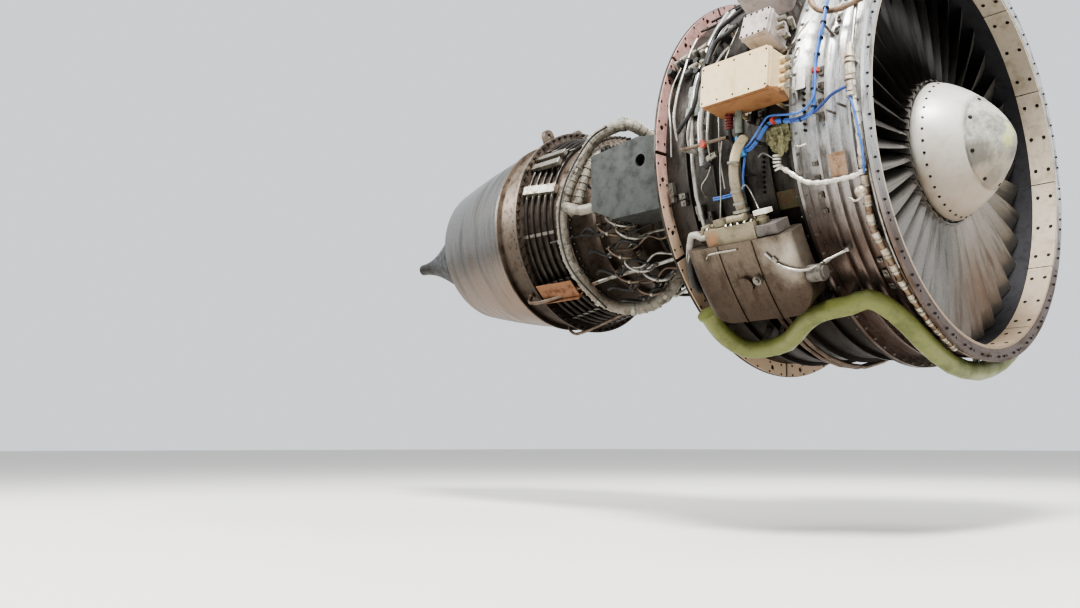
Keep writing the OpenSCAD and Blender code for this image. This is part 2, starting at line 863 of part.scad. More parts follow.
module lp_turbine_vanes() {
    color("#7b756e")
        for (i = [0 : lpt_stages - 1])
            lpt_row(lpt_vane_station(i), lpt_hub_r + run, seat, -turbine_stagger);
}

module lp_turbine_case() {
    flange_t = 10;
    front_flange_r = lpt_front_r + 32;
    mid_flange_r = rear_flange_r + 28;
    color("#8a7f73")
        turned([
            [lpt_front_r, -core_turbine_rear],
            [front_flange_r, -core_turbine_rear],
            [front_flange_r, -core_turbine_rear - flange_t],
            [lpt_case_radius(core_turbine_rear + flange_t) + turbine_wall, -core_turbine_rear - flange_t],
            [lpt_case_radius(lpt_rear - flange_t) + turbine_wall, -lpt_rear + flange_t],
            [mid_flange_r, -lpt_rear + flange_t],
            [mid_flange_r, -lpt_rear],
            [lpt_rear_r, -lpt_rear]
        ]);
}

// Compressor air path
compressor_pitch = (compressor_l - 60) / compressor_stages;
compressor_chord = 22;
compressor_stagger = 42;
compressor_camber = 3;
compressor_blade_t = 3;

function compressor_share(station) = (station - frame_rear) / compressor_l;

function compressor_tip_radius(station) =
    mix(compressor_inlet_tip_r, compressor_exit_tip_r, compressor_share(station));

function compressor_hub_radius(station) =
    mix(compressor_inlet_hub_r, compressor_exit_hub_r, compressor_share(station));

function compressor_blade_station(i) = frame_rear + 34 + i * compressor_pitch;

function compressor_vane_station(i) = compressor_blade_station(i) + compressor_pitch / 2;

// The bevel gear's tooth, body and hub, about its own axis from the cone's point
bevel_face = 24;
bevel_root = 6.5;
bevel_crest = 4.5;

module bevel_gear(bore_r, phase) {
    start = bevel_r * sqrt(2) - bevel_face / 2;
    finish = start + bevel_face;
    root_start = [(start - bevel_root) / sqrt(2), (start + bevel_root) / sqrt(2)];
    root_finish = [(finish - bevel_root) / sqrt(2), (finish + bevel_root) / sqrt(2)];
    back = root_finish[1] + 1;
    union() {
        rotate_extrude()
            polygon([[bore_r, root_start[1]], root_start, root_finish,
                [root_finish[0], back], [bore_r, back]]);
        for (i = [0 : bevel_teeth - 1])
            rotate([0, 0, 360 * (i + phase) / bevel_teeth])
                rotate([0, 45, 0])
                    translate([0, 0, start])
                        linear_extrude(height = bevel_face)
                            polygon([
                                [-bevel_root - 2, -bevel_tooth_w * 0.8],
                                [bevel_crest, -bevel_tooth_w * 0.3],
                                [bevel_crest, bevel_tooth_w * 0.3],
                                [-bevel_root - 2, bevel_tooth_w * 0.8]
                            ]);
    }
}

module core_compressor_drum() {
    wall = 7;
    disc_t = 14;
    disc_bore_r = 92;
    front_r = compressor_hub_radius(core_drum_front);
    rear_r = compressor_hub_radius(core_drum_rear);
    color("#85878a")
        union() {
            turned([
                [core_bore_r, -core_stub_front],
                [core_stub_r, -core_stub_front],
                [core_stub_r, -core_drum_front],
                [front_r, -core_drum_front],
                [rear_r, -core_drum_rear],
                [core_shaft_r, -core_drum_rear],
                [core_shaft_r, -core_joint],
                [core_bore_r, -core_joint],
                [core_bore_r, disc_t - core_drum_rear],
                [rear_r - wall, disc_t - core_drum_rear],
                [front_r - wall, -core_drum_front - disc_t],
                [core_bore_r, -core_drum_front - disc_t]
            ]);
            for (i = [1 : compressor_stages - 2])
                ring(disc_bore_r, compressor_hub_radius(compressor_blade_station(i)) - wall / 2,
                    compressor_blade_station(i) - 4, compressor_blade_station(i) + 4);
            translate([-bevel_station, 0, 0])
                rotate([0, -90, 0])
                    bevel_gear(core_stub_r - 2, 0);
        }
}

module compressor_row(station, r0, r1, stagger) {
    vane_row(compressor_blade_count, station, r0, r1,
        blade_section(compressor_chord, compressor_blade_t, compressor_camber), stagger);
}

module core_compressor_blades() {
    half = compressor_chord / 2 * cos(compressor_stagger) + 2;
    width = vane_half_width(compressor_chord, compressor_camber, compressor_stagger);
    color("#8d8f91")
        for (i = [0 : compressor_stages - 1]) {
            station = compressor_blade_station(i);
            compressor_row(station, compressor_hub_radius(station + half) + seat,
                under_wall(compressor_tip_radius(station + half), width, run),
                compressor_stagger);
        }
}

module core_compressor_vanes() {
    half = compressor_chord / 2 * cos(compressor_stagger) + 2;
    width = vane_half_width(compressor_chord, compressor_camber, compressor_stagger);
    color("#95979a")
        for (i = [0 : compressor_stages - 1]) {
            station = compressor_vane_station(i);
            compressor_row(station, compressor_hub_radius(station + half) + run,
                under_wall(compressor_tip_radius(station + half), width, seat),
                -compressor_stagger);
        }
}

// The rings that turn the variable vanes ride on low tracks round the case
vane_ring_standoff = vane_ring_r
    - compressor_tip_radius(compressor_vane_station(0)) - compressor_wall;
vane_ring_w = 12;
vane_ring_h = 11;

function vane_ring_inner(i) =
    compressor_tip_radius(compressor_vane_station(i)) + compressor_wall + vane_ring_standoff;

module core_compressor_case() {
    flange_t = 10;
    flange_h = 24;
    track_w = 6;
    inner = [
        for (s = [frame_rear, compressor_rear])
            [compressor_tip_radius(s), -s]
    ];
    tracks = [
        for (i = [0 : vane_ring_count - 1])
            let (s = compressor_vane_station(i), r = vane_ring_inner(i) - seat,
                 wall_r = compressor_tip_radius(s) + compressor_wall)
                each [[wall_r, track_w / 2 - s], [r, track_w / 2 - s],
                    [r, -track_w / 2 - s], [wall_r, -track_w / 2 - s]]
    ];
    color("#8b8d8f")
        turned(concat(
            [inner[0],
             [inner[0][0] + compressor_wall + flange_h, -frame_rear],
             [inner[0][0] + compressor_wall + flange_h, -frame_rear - flange_t],
             [inner[0][0] + compressor_wall, -frame_rear - flange_t]],
            tracks,
            [[inner[1][0] + compressor_wall, flange_t - compressor_rear],
             [inner[1][0] + compressor_wall + flange_h, flange_t - compressor_rear],
             [inner[1][0] + compressor_wall + flange_h, -compressor_rear],
             inner[1]]
        ));
}

module vane_rings() {
    lug = 15;
    color("#9c9a94")
        for (i = [0 : vane_ring_count - 1])
            union() {
                ring(vane_ring_inner(i), vane_ring_inner(i) + vane_ring_h,
                    compressor_vane_station(i) - vane_ring_w / 2,
                    compressor_vane_station(i) + vane_ring_w / 2);
                around(vane_ring_lugs)
                    translate([-compressor_vane_station(i) - lug / 4, -lug / 2,
                        vane_ring_inner(i) + vane_ring_h / 2])
                        cube([lug / 2, lug, lug]);
            }
}

module bearing(station, inner_r, outer_r, count) {
    race = (outer_r - inner_r - ball_d) / 2 - seat;
    ball_r = (inner_r + outer_r) / 2;
    ring(inner_r + seat, inner_r + race, station - bearing_w / 2, station + bearing_w / 2);
    ring(outer_r - race, outer_r - seat, station - bearing_w / 2, station + bearing_w / 2);
    around(count)
        translate([-station, 0, ball_r])
            sphere(d = ball_d - 2 * seat);
}

// Outer radii of the bearings' seats in the hubs
fan_bearing_outer_r = fan_shaft_r + 34;
core_bearing_outer_r = core_stub_r + 32;
rear_bearing_outer_r = rear_stub_r + 30;

module shaft_bearings() {
    color("#a8aaad") {
        bearing(ball_bearing, fan_shaft_r, fan_bearing_outer_r, 20);
        bearing(roller_bearing, fan_shaft_r, fan_bearing_outer_r, 20);
        bearing(core_bearing, core_stub_r, core_bearing_outer_r, 16);
        bearing(rear_bearing, rear_stub_r, rear_bearing_outer_r, 16);
    }
}

// The radial shaft leaves the core on the engine's left side
drive_clock = 270;
drive_bore_r = radial_shaft_r + radial_shaft_gap;
drive_top = fan_tip_r + tip_gap + frame_wall + 84;
drive_journal_l = 26;

module radial_drive_shaft() {
    start = (bevel_r * sqrt(2) - bevel_face / 2 + bevel_root) / sqrt(2);
    color("#7f8285")
        at_clock(drive_clock, 0, bevel_station)
            union() {
                bevel_gear(radial_shaft_r - 2, 0.5);
                translate([0, 0, start])
                    cylinder(r = radial_shaft_r, h = drive_top - start);
            }
}

// Inner surface of the duct round the fan, and the parts that make it
duct_r = fan_tip_r + tip_gap;
inlet_bore_r = duct_r + shroud_t + seat;
case_outer_r = inlet_bore_r + inlet_case_wall;
frame_outer_r = duct_r + frame_wall;
frame_flange_r = frame_outer_r + frame_flange_h;
rear_rim_r = frame_outer_r + rear_rim_h;

module fan_inlet_case() {
    bolt_ring_r = (case_outer_r + inlet_flange_r) / 2;
    stations = [
        for (i = [0 : 3])
            first_rib + i * rib_pitch
    ];
    color("#9da0a3")
        difference() {
            turned(concat(
                [[inlet_bore_r, 0], [inlet_flange_r, 0], [inlet_flange_r, -case_flange_t],
                 [case_outer_r, -case_flange_t]],
                rib_points(case_outer_r, rib_h, rib_w, stations),
                [[case_outer_r, case_flange_t - frame_front],
                 [frame_flange_r, case_flange_t - frame_front],
                 [frame_flange_r, -frame_front],
                 [inlet_bore_r, -frame_front]]
            ));
            around(inlet_bolt_count)
                translate([-case_flange_t - 1, 0, bolt_ring_r])
                    rotate([0, 90, 0])
                        cylinder(r = inlet_bolt_r, h = case_flange_t + 2);
        }
}

lip_panel_front = 2;

module acoustic_panels() {
    step = 360 / lip_panel_count;
    gap = lip_panel_gap / duct_r * 180 / PI;
    color("#cdbfa9")
        for (i = [0 : lip_panel_count - 1])
            sector(ring_profile(duct_r, inlet_bore_r - seat, lip_panel_front,
                lip_panel_front + lip_panel_l), i * step + gap / 2, (i + 1) * step - gap / 2);
}

module tip_shroud() {
    color("#4b4c4d")
        ring(duct_r, inlet_bore_r - seat, lip_panel_front + lip_panel_l + 2, frame_front);
}

module drive_bore(r) {
    at_clock(drive_clock, 0, bevel_station)
        cylinder(r = r, h = 2 * fan_tip_r);
}

module fan_frame_case() {
    pitch = frame_l / (frame_rib_count + 1);
    rim_t = 8;
    stations = [
        for (i = [1 : frame_rib_count])
            frame_front + i * pitch
    ];
    color("#6f7173")
        difference() {
            turned(concat(
                [[duct_r, -frame_front], [frame_flange_r, -frame_front],
                 [frame_flange_r, -frame_front - case_flange_t],
                 [frame_outer_r, -frame_front - case_flange_t]],
                rib_points(frame_outer_r, rib_h, rib_w, stations),
                [[frame_outer_r, rim_t - frame_rear], [rear_rim_r, rim_t - frame_rear],
                 [rear_rim_r, -frame_rear], [duct_r, -frame_rear]]
            ));
            drive_bore(drive_bore_r);
        }
}

module rear_rim_panels() {
    rim_t = 8;
    hole_r = 11;
    step = 360 / rim_panel_count;
    inner_r = frame_outer_r + seat;
    outer_r = rear_rim_r - 2;
    color("#b98a80")
        difference() {
            for (i = [0 : rim_panel_count - 1])
                sector(ring_profile(inner_r, outer_r, frame_rear - rim_t - rim_panel_t,
                    frame_rear - rim_t), i * step + 0.5, (i + 1) * step - 0.5);
            around(2 * rim_panel_count, step / 4)
                translate([-frame_rear, 0, (inner_r + outer_r) / 2])
                    rotate([0, 90, 0])
                        cylinder(r = hole_r, h = rim_t + 2 * rim_panel_t);
        }
}

// Outline of a strut, with its nose towards +X
module strut_outline(chord, t) {
    polygon([
        [chord / 2, 0], [chord * 0.42, t * 0.28], [chord * 0.25, t * 0.45],
        [chord * 0.05, t / 2], [-chord * 0.2, t * 0.4], [-chord / 2, t * 0.06],
        [-chord / 2, -t * 0.06], [-chord * 0.2, -t * 0.4], [chord * 0.05, -t / 2],
        [chord * 0.25, -t * 0.45], [chord * 0.42, -t * 0.28]
    ]);
}

strut_station = bevel_station - 8;

// The struts at the left side and the bottom are thick, for the drive shaft and services
function is_thick(clock) = clock == drive_clock || clock == 180;

module fan_frame_struts() {
    color("#75777a")
        difference() {
            for (i = [0 : strut_count - 1]) {
                clock = 360 * i / strut_count;
                t = is_thick(clock) ? thick_strut_t : strut_t;
                top = under_wall(duct_r, t / 2, seat);
                at_clock(clock, hub_r + seat, strut_station)
                    linear_extrude(height = top - hub_r - seat)
                        strut_outline(strut_chord, t);
            }
            drive_bore(drive_bore_r);
        }
}

module fan_frame_hub() {
    core_struts = 8;
    core_strut_chord = 190;
    wall = 8;
    web = 10;
    hole_count = 12;
    hole_r = 18;
    gas_wall = 10;
    boss_r = radial_shaft_r + 14;
    boss_foot = bevel_r + 42;
    rear_r = compressor_inlet_tip_r;
    hub_hole_r = (rear_r + hub_r) / 2;
    color("#77797b")
        difference() {
            union() {
                ring(hub_r - wall, hub_r, hub_front, frame_rear);
                ring(booster_exit_tip_r, hub_r, hub_front, hub_front + web);
                ring(rear_r, hub_r, frame_rear - web, frame_rear);
                turned([
                    [booster_exit_tip_r, -hub_front], [booster_exit_tip_r + wall, -hub_front],
                    [rear_r + wall, -frame_rear], [rear_r, -frame_rear]
                ]);
                turned([
                    [booster_exit_hub_r, -hub_front], [compressor_inlet_hub_r, -frame_rear],
                    [compressor_inlet_hub_r - gas_wall, -frame_rear],
                    [booster_exit_hub_r - gas_wall, -hub_front]
                ]);
                bearing_web(ball_bearing, fan_bearing_outer_r);
                bearing_web(roller_bearing, fan_bearing_outer_r);
                bearing_web(core_bearing, core_bearing_outer_r);
                for (i = [0 : core_struts - 1]) {
                    clock = 360 * i / core_struts;
                    core_strut(clock, core_strut_chord,
                        is_thick(clock) ? thick_strut_t : strut_t);
                }
                at_clock(drive_clock, boss_foot, bevel_station)
                    cylinder(r = boss_r, h = booster_exit_hub_r - boss_foot);
            }
            around(hole_count, 15)
                translate([-frame_rear - 1, 0, hub_hole_r])
                    rotate([0, 90, 0])
                        cylinder(r = hole_r, h = web + 2);
            at_clock(drive_clock, 0, bevel_station) {
                cylinder(r = radial_shaft_r + seat, h = boss_foot + drive_journal_l);
                translate([0, 0, boss_foot + drive_journal_l])
                    cylinder(r = drive_bore_r, h = fan_tip_r);
            }
        }
}

// A plate inside the hub that carries a bearing's outer race
module bearing_web(station, r) {
    share = (station + bearing_w / 2 - hub_front) / frame_hub_l;
    top = mix(booster_exit_hub_r, compressor_inlet_hub_r, share) - 3;
    ring(r, top, station - bearing_w / 2, station + bearing_w / 2);
}

// A strut across the core's air path, cut to the path's sloping walls
module core_strut(clock, chord, t) {
    at_clock(clock, 0, strut_station)
        intersection() {
            translate([0, 0, compressor_inlet_hub_r])
                linear_extrude(height = booster_exit_tip_r - compressor_inlet_hub_r)
                    strut_outline(chord, t);
            rotate([90, 0, 0])
                translate([strut_station, 0, 0])
                    linear_extrude(height = 2 * t, center = true)
                        polygon([
                            [-hub_front, booster_exit_hub_r - 4],
                            [-frame_rear, compressor_inlet_hub_r - 4],
                            [-frame_rear, compressor_inlet_tip_r + 4],
                            [-hub_front, booster_exit_tip_r + 4]
                        ]);
        }
}

module outlet_guide_vanes() {
    camber = 9;
    stagger = 12;
    thickness = 7;
    width = vane_half_width(guide_vane_chord, camber, stagger);
    color("#86888a")
        vane_row(guide_vane_count, guide_vane_station, hub_r + seat,
            under_wall(duct_r, width, seat), vane_section(guide_vane_chord, thickness, camber),
            stagger);
}

// Combustor
nozzle_station = compressor_rear + 70;
combustor_outer_r = combustor_r + combustor_wall;
combustor_flange_r = combustor_outer_r + 30;
fuel_pad_h = 12;
fuel_inlet_h = 30;
nozzle_bore_r = 9;

module combustor_case() {
    flange_t = 10;
    front_flange_r = compressor_exit_tip_r + compressor_wall + 24;
    color("#7a7064")
        difference() {
            turned([
                [compressor_exit_tip_r, -compressor_rear],
                [front_flange_r, -compressor_rear],
                [front_flange_r, -compressor_rear - flange_t],
                [compressor_exit_tip_r + 14, -compressor_rear - flange_t],
                [combustor_outer_r, -compressor_rear - 46],
                [combustor_outer_r, flange_t - combustor_rear],
                [combustor_flange_r, flange_t - combustor_rear],
                [combustor_flange_r, -combustor_rear],
                [combustor_r, -combustor_rear],
                [combustor_r, -compressor_rear - 52],
                [compressor_exit_tip_r + 4, -compressor_rear - 18],
                [compressor_exit_tip_r, -compressor_rear - 16]
            ]);
            around(fuel_nozzle_count)
                translate([-nozzle_station, 0, fuel_ring_r])
                    cylinder(r = nozzle_bore_r, h = fuel_ring_r);
        }
}

// Stations and radii of the turbine nozzle's two bands
band_front = combustor_rear - 5;
band_rear = combustor_rear + 45;
band_t = 6;

module flame_tube() {
    dome = nozzle_station + 24;
    half = 46;
    swirler_r = 13;
    color("#6e655b")
        difference() {
            turned([
                [fuel_ring_r - half, -dome - 20],
                [fuel_ring_r - half + 16, -dome],
                [fuel_ring_r + half - 16, -dome],
                [fuel_ring_r + half, -dome - 20],
                [fuel_ring_r + half + 4, -dome - 80],
                [core_turbine_tip_r + liner_t, -band_front],
                [core_turbine_tip_r, -band_front],
                [fuel_ring_r + half + 4 - liner_t, -dome - 80],
                [fuel_ring_r + half - liner_t, -dome - 22],
                [fuel_ring_r + half - 17, -dome - liner_t],
                [fuel_ring_r - half + 17, -dome - liner_t],
                [fuel_ring_r - half + liner_t, -dome - 22],
                [fuel_ring_r - half + 6 + liner_t, -dome - 80],
                [core_turbine_hub_r, -band_front],
                [core_turbine_hub_r - liner_t, -band_front],
                [fuel_ring_r - half + 6, -dome - 80]
            ]);
            around(fuel_nozzle_count)
                translate([-dome - 10, 0, fuel_ring_r])
                    rotate([0, 90, 0])
                        cylinder(r = swirler_r, h = 20);
        }
}

module fuel_nozzles() {
    stem_r = 6.5;
    tip_r = 12.5;
    tip_l = 30;
    color("#8c8377")
        around(fuel_nozzle_count)
            translate([-nozzle_station, 0, 0])
                union() {
                    translate([0, 0, fuel_ring_r])
                        cylinder(r = stem_r, h = combustor_outer_r - fuel_ring_r + fuel_pad_h);
                    translate([-tip_l, 0, fuel_ring_r])
                        rotate([0, 90, 0])
                            cylinder(r = tip_r, h = tip_l + stem_r);
                    translate([-16, -20, under_wall(combustor_outer_r, 0, -seat)])
                        cube([32, 40, fuel_pad_h]);
                    translate([0, 0, combustor_outer_r + fuel_pad_h])
                        cylinder(r = 10, h = fuel_inlet_h - fuel_pad_h);
                }
}

module fuel_manifold() {
    pipe_r = 8;
    ring_r = combustor_outer_r + fuel_inlet_h + 16;
    color("#9b948a")
        union() {
            translate([-nozzle_station, 0, 0])
                rotate([0, 90, 0])
                    rotate_extrude()
                        translate([ring_r, 0])
                            circle(r = pipe_r, $fn = 24);
            around(fuel_nozzle_count)
                translate([-nozzle_station, 0, combustor_outer_r + fuel_inlet_h + seat])
                    cylinder(r = 5, h = ring_r - combustor_outer_r - fuel_inlet_h);
        }
}

// High-pressure turbine
core_turbine_blade_station = band_rear + 26;

module core_turbine_vanes() {
    chord = 40;
    camber = 7;
    thickness = 8;
    count = 36;
    case_r = 158;
    case_t = 6;
    color("#77695b")
        union() {
            ring(core_turbine_tip_r, core_turbine_tip_r + band_t, band_front, band_rear);
            ring(core_turbine_hub_r - band_t, core_turbine_hub_r, band_front, band_rear);
            vane_row(count, (band_front + band_rear) / 2, core_turbine_hub_r - 2, core_turbine_tip_r + 1,
                vane_section(chord, thickness, camber), -30);
            turned([
                [core_turbine_hub_r - band_t, -band_rear], [core_turbine_hub_r - band_t, 5 - band_rear],
                [case_r + case_t, -band_front], [case_r + case_t, -nozzle_station],
                [case_r, -nozzle_station], [case_r, -band_front - case_t]
            ]);
        }
}

module core_turbine_case() {
    flange_t = 10;
    shroud_front = band_rear + 4;
    shroud_rear = core_turbine_blade_station + 32;
    inner = combustor_outer_r;
    rear_r = lpt_front_r + turbine_wall;
    color("#807466")
        union() {
            turned([
                [core_turbine_tip_r + band_t + seat, -combustor_rear],
                [combustor_flange_r, -combustor_rear],
                [combustor_flange_r, -combustor_rear - flange_t],
                [inner + turbine_wall, -combustor_rear - flange_t],
                [inner + turbine_wall, -shroud_rear + 20],
                [rear_r, flange_t - core_turbine_rear],
                [lpt_front_r + 32, flange_t - core_turbine_rear],
                [lpt_front_r + 32, -core_turbine_rear],
                [lpt_front_r, -core_turbine_rear],
                [inner, -shroud_rear + 16],
                [inner, -combustor_rear - flange_t],
                [core_turbine_tip_r + band_t + seat, -combustor_rear - flange_t]
            ]);
            ring(core_turbine_tip_r + run, core_turbine_tip_r + run + 6, shroud_front, shroud_rear);
            ring(core_turbine_tip_r + run + 4, inner + 2, shroud_front, shroud_front + 6);
        }
}

module core_turbine_blades() {
    chord = 40;
    width = vane_half_width(chord, 6, 35);
    color("#6f665c")
        vane_row(core_turbine_blade_count, core_turbine_blade_station, core_turbine_hub_r + seat,
            under_wall(core_turbine_tip_r, width, 0), blade_section(chord, 6, 6), 35);
}

module core_turbine_disk() {
    rim_w = 44;
    web_w = 14;
    hub_w = 60;
    c = core_turbine_blade_station;
    color("#6a6864")
        turned([
            [core_bore_r, -core_joint],
            [core_shaft_r, -core_joint],
            [core_shaft_r, hub_w / 2 + 8 - c],
            [112, hub_w / 2 - c],
            [136, web_w / 2 - c],
            [262, web_w / 2 - c],
            [272, rim_w / 2 - c],
            [core_turbine_hub_r, rim_w / 2 - c],
            [core_turbine_hub_r, -rim_w / 2 - c],
            [272, -rim_w / 2 - c],
            [262, -web_w / 2 - c],
            [136, -web_w / 2 - c],
            [112, -hub_w / 2 - c],
            [core_bore_r, -hub_w / 2 - c]
        ]);
}

// Cooling tubes lie round the low-pressure turbine's case, fed by a box on each side
tube_pitch = 38;
first_tube = core_turbine_rear + 92;

function tube_ring_r(i) = lpt_case_radius(first_tube + i * tube_pitch) + turbine_wall
    + cooling_tube_d / 2 / cos(atan((lpt_rear_r - lpt_front_r) / lpt_l)) + seat;

module cooling_tubes() {
    box_w = 44;
    box_h = 30;
    tilt = atan((lpt_rear_r - lpt_front_r) / lpt_l);
    box_l = (cooling_tube_count - 1) * tube_pitch + 2 * cooling_tube_d;
    box_front = first_tube - cooling_tube_d;
    color("#59524c")
        union() {
            for (i = [0 : cooling_tube_count - 1])
                translate([-first_tube - i * tube_pitch, 0, 0])
                    rotate([0, 90, 0])
                        rotate_extrude()
                            translate([tube_ring_r(i), 0])
                                circle(d = cooling_tube_d, $fn = 24);
            for (clock = [75, 255])
                at_clock(clock, lpt_case_radius(box_front) + turbine_wall, box_front)
                    rotate([0, tilt, 0])
                        translate([-box_l, -box_w / 2, cooling_tube_d / 2 - 4])
                            cube([box_l, box_w, box_h]);
        }
}

lug_r = rear_flange_r + 44;
lug_t = 26;
lug_station = lpt_rear + 92;
lug_clocks = [-24, 0, 24];

rear_frame_wall = 8;

module rear_frame_ring() {
    flange_t = 9;
    lug_w = 68;
    color("#7b7268")
        difference() {
            union() {
                turned([
                    [lpt_rear_r, -lpt_rear],
                    [rear_flange_r + 28, -lpt_rear],
                    [rear_flange_r + 28, -lpt_rear - flange_t],
                    [lpt_rear_r + rear_frame_wall, -lpt_rear - flange_t],
                    [lpt_rear_r + rear_frame_wall, flange_t - rear_frame_rear],
                    [rear_flange_r, flange_t - rear_frame_rear],
                    [rear_flange_r, -rear_frame_rear],
                    [lpt_rear_r, -rear_frame_rear]
                ]);
                for (clock = lug_clocks)
                    rotate([clock, 0, 0]) {
                        translate([0, 0, lug_r])
                            barrel(lug_w, lug_station - lug_t / 2, lug_station + lug_t / 2);
                        translate([-lug_station - lug_t / 2, -lug_w / 2, lpt_rear_r + 4])
                            cube([lug_t, lug_w, lug_r - lpt_rear_r - 4]);
                    }
            }
            for (clock = lug_clocks)
                rotate([clock, 0, 0])
                    translate([0, 0, lug_r])
                        barrel(2 * lug_hole_r, lug_station - lug_t, lug_station + lug_t);
        }
}

module rear_frame_hub() {
    wall = 8;
    web_t = 12;
    thickness = 16;
    chord = 112;
    middle = (lpt_rear + rear_frame_rear) / 2;
    color("#756d64")
        union() {
            ring(rear_hub_r - wall, rear_hub_r, lpt_rear + 6, rear_frame_rear);
            ring(rear_bearing_outer_r, rear_hub_r - wall / 2, rear_bearing - web_t / 2,
                rear_bearing + web_t / 2);
            ring(rear_bearing_outer_r, rear_bearing_outer_r + 12, rear_bearing - bearing_w / 2,
                rear_bearing + bearing_w / 2);
            around(rear_strut_count, 360 / rear_strut_count / 2)
                translate([-middle, 0, rear_hub_r - wall / 2])
                    linear_extrude(height = under_wall(lpt_rear_r, thickness / 2, seat)
                        - rear_hub_r + wall / 2)
                        strut_outline(chord, thickness);
        }
}

module exhaust_nozzle() {
    steps = 8;
    bulge = 9;
    flange_t = 8;
    front_r = rear_flange_r - 12;
    outer = [
        for (i = [0 : steps])
            [mix(front_r, nozzle_exit_r, i / steps) + bulge * sin(180 * i / steps),
                -rear_frame_rear - flange_t - (nozzle_l - flange_t) * i / steps]
    ];
    color("#8793a3")
        turned(concat(
            [[front_r - exhaust_sheet, -rear_frame_rear], [rear_flange_r, -rear_frame_rear],
             [rear_flange_r, -rear_frame_rear - flange_t]],
            outer,
            [for (i = [steps : -1 : 0]) [outer[i][0] - exhaust_sheet, outer[i][1]]]
        ));
}

module exhaust_plug() {
    steps = 14;
    flange_t = 8;
    front_r = rear_hub_r - 2;
    outer = [
        for (i = [0 : steps])
            [plug_tip_r + (front_r - plug_tip_r) * pow(1 - i / steps, plug_flare),
                -rear_frame_rear - flange_t - (plug_l - flange_t) * i / steps]
    ];
    color("#8a8f96")
        turned(concat(
            [[front_r - 24, -rear_frame_rear], [front_r, -rear_frame_rear]],
            outer,
            [[0, outer[steps][1]], [0, outer[steps][1] + exhaust_sheet]],
            [for (i = [steps : -1 : 1])
                [outer[i][0] - exhaust_sheet, outer[i][1] + exhaust_sheet]],
            [[front_r - 24, -rear_frame_rear - flange_t]]
        ));
}

// Turns a flat shape drawn in [radius, x] between two clock angles
module sector_of(clock0, clock1) {
    rotate([clock0 - 180, 0, 0])
        rotate([0, 90, 0])
            rotate_extrude(angle = clock1 - clock0)
                children();
}

// A flat rectangle with round corners, centred
module rounded_plate(l, w, r) {
    square([l - 2 * r, w], center = true);
    square([l, w - 2 * r], center = true);
    for (x = [-1, 1], y = [-1, 1])
        translate([x * (l / 2 - r), y * (w / 2 - r)])
            circle(r = r);
}

function shell_r(station) = station < frame_front ? case_outer_r : frame_outer_r;

// A post under a box, from the fan case's shell up to a radius
module case_post(station, across, top_r, d) {
    foot = under_wall(shell_r(station), abs(across) - d / 2, -seat);
    translate([-station, across, foot])
        cylinder(d = d, h = top_r - foot);
}

// A box standing on four posts over the fan case, with a lid rim and plugs on its front
module case_box(clock, front, rear, w, bottom_r, depth, post_stations, plugs) {
    corner = 9;
    rim = 3;
    rim_t = 5;
    post_d = 15;
    plug_d = 24;
    l = rear - front;
    rotate([clock, 0, 0])
        union() {
            translate([-(front + rear) / 2, 0, bottom_r]) {
                linear_extrude(height = depth)
                    rounded_plate(l, w, corner);
                translate([0, 0, depth - 4 * rim_t])
                    linear_extrude(height = rim_t)
                        rounded_plate(l + 2 * rim, w + 2 * rim, corner + rim);
            }
            for (station = post_stations, side = [-1, 1])
                case_post(station, side * (w / 2 - 1.6 * post_d), bottom_r + 1, post_d);
            for (i = [0 : plugs - 1])
                translate([0, (i - (plugs - 1) / 2) * 1.4 * plug_d, bottom_r + depth * 0.4])
                    barrel(plug_d, front - 0.8 * plug_d, front + 1);
        }
}

box_bottom_r = frame_flange_r + box_standoff;
control_box_front = 250;

module control_box() {
    color("#d9cfba")
        case_box(83, control_box_front, control_box_front + control_box_l, control_box_w,
            box_bottom_r, control_box_d, [320, 480], 4);
}

ignition_bottom_r = frame_flange_r + 20;
ignition_front = 296;
ignition_posts = [ignition_front + 24, ignition_front + 86];

module ignition_boxes() {
    color("#b9aeb0") {
        case_box(70, ignition_front, ignition_front + 112, 104, ignition_bottom_r, 118,
            ignition_posts, 2);
        case_box(57, ignition_front + 8, ignition_front + 180, 116, ignition_bottom_r, 124,
            [ignition_posts[0] + 10, ignition_front + 150], 3);
    }
}

// Oil tank, its filler head and cap
tank_inner_r = frame_outer_r + 68;
tank_outer_r = tank_inner_r + tank_d;
head_depth_clock = 3.5;
head_front = 400;
head_rear = 610;
cap_station = 560;
cap_r = (tank_inner_r + tank_outer_r) / 2;
neck_r = 22;
neck_h = 16;
cap_h = 24;
head_top_clock = tank_top_clock - head_depth_clock;

// Outline of the tank seen from outside: square at its top, round at its lower corners
module tank_outline() {
    half_w = tank_outer_r * sin((tank_bottom_clock - tank_top_clock) / 2) + 1;
    translate([-tank_l / 2, 0])
        square([tank_l, half_w + 8]);
    translate([0, -half_w / 2])
        square([tank_l - 2 * tank_corner_r, half_w], center = true);
    translate([-tank_l / 2, tank_corner_r - half_w])
        square([tank_l, half_w - tank_corner_r + 1]);
    for (x = [-1, 1])
        translate([x * (tank_l / 2 - tank_corner_r), tank_corner_r - half_w])
            circle(r = tank_corner_r);
}

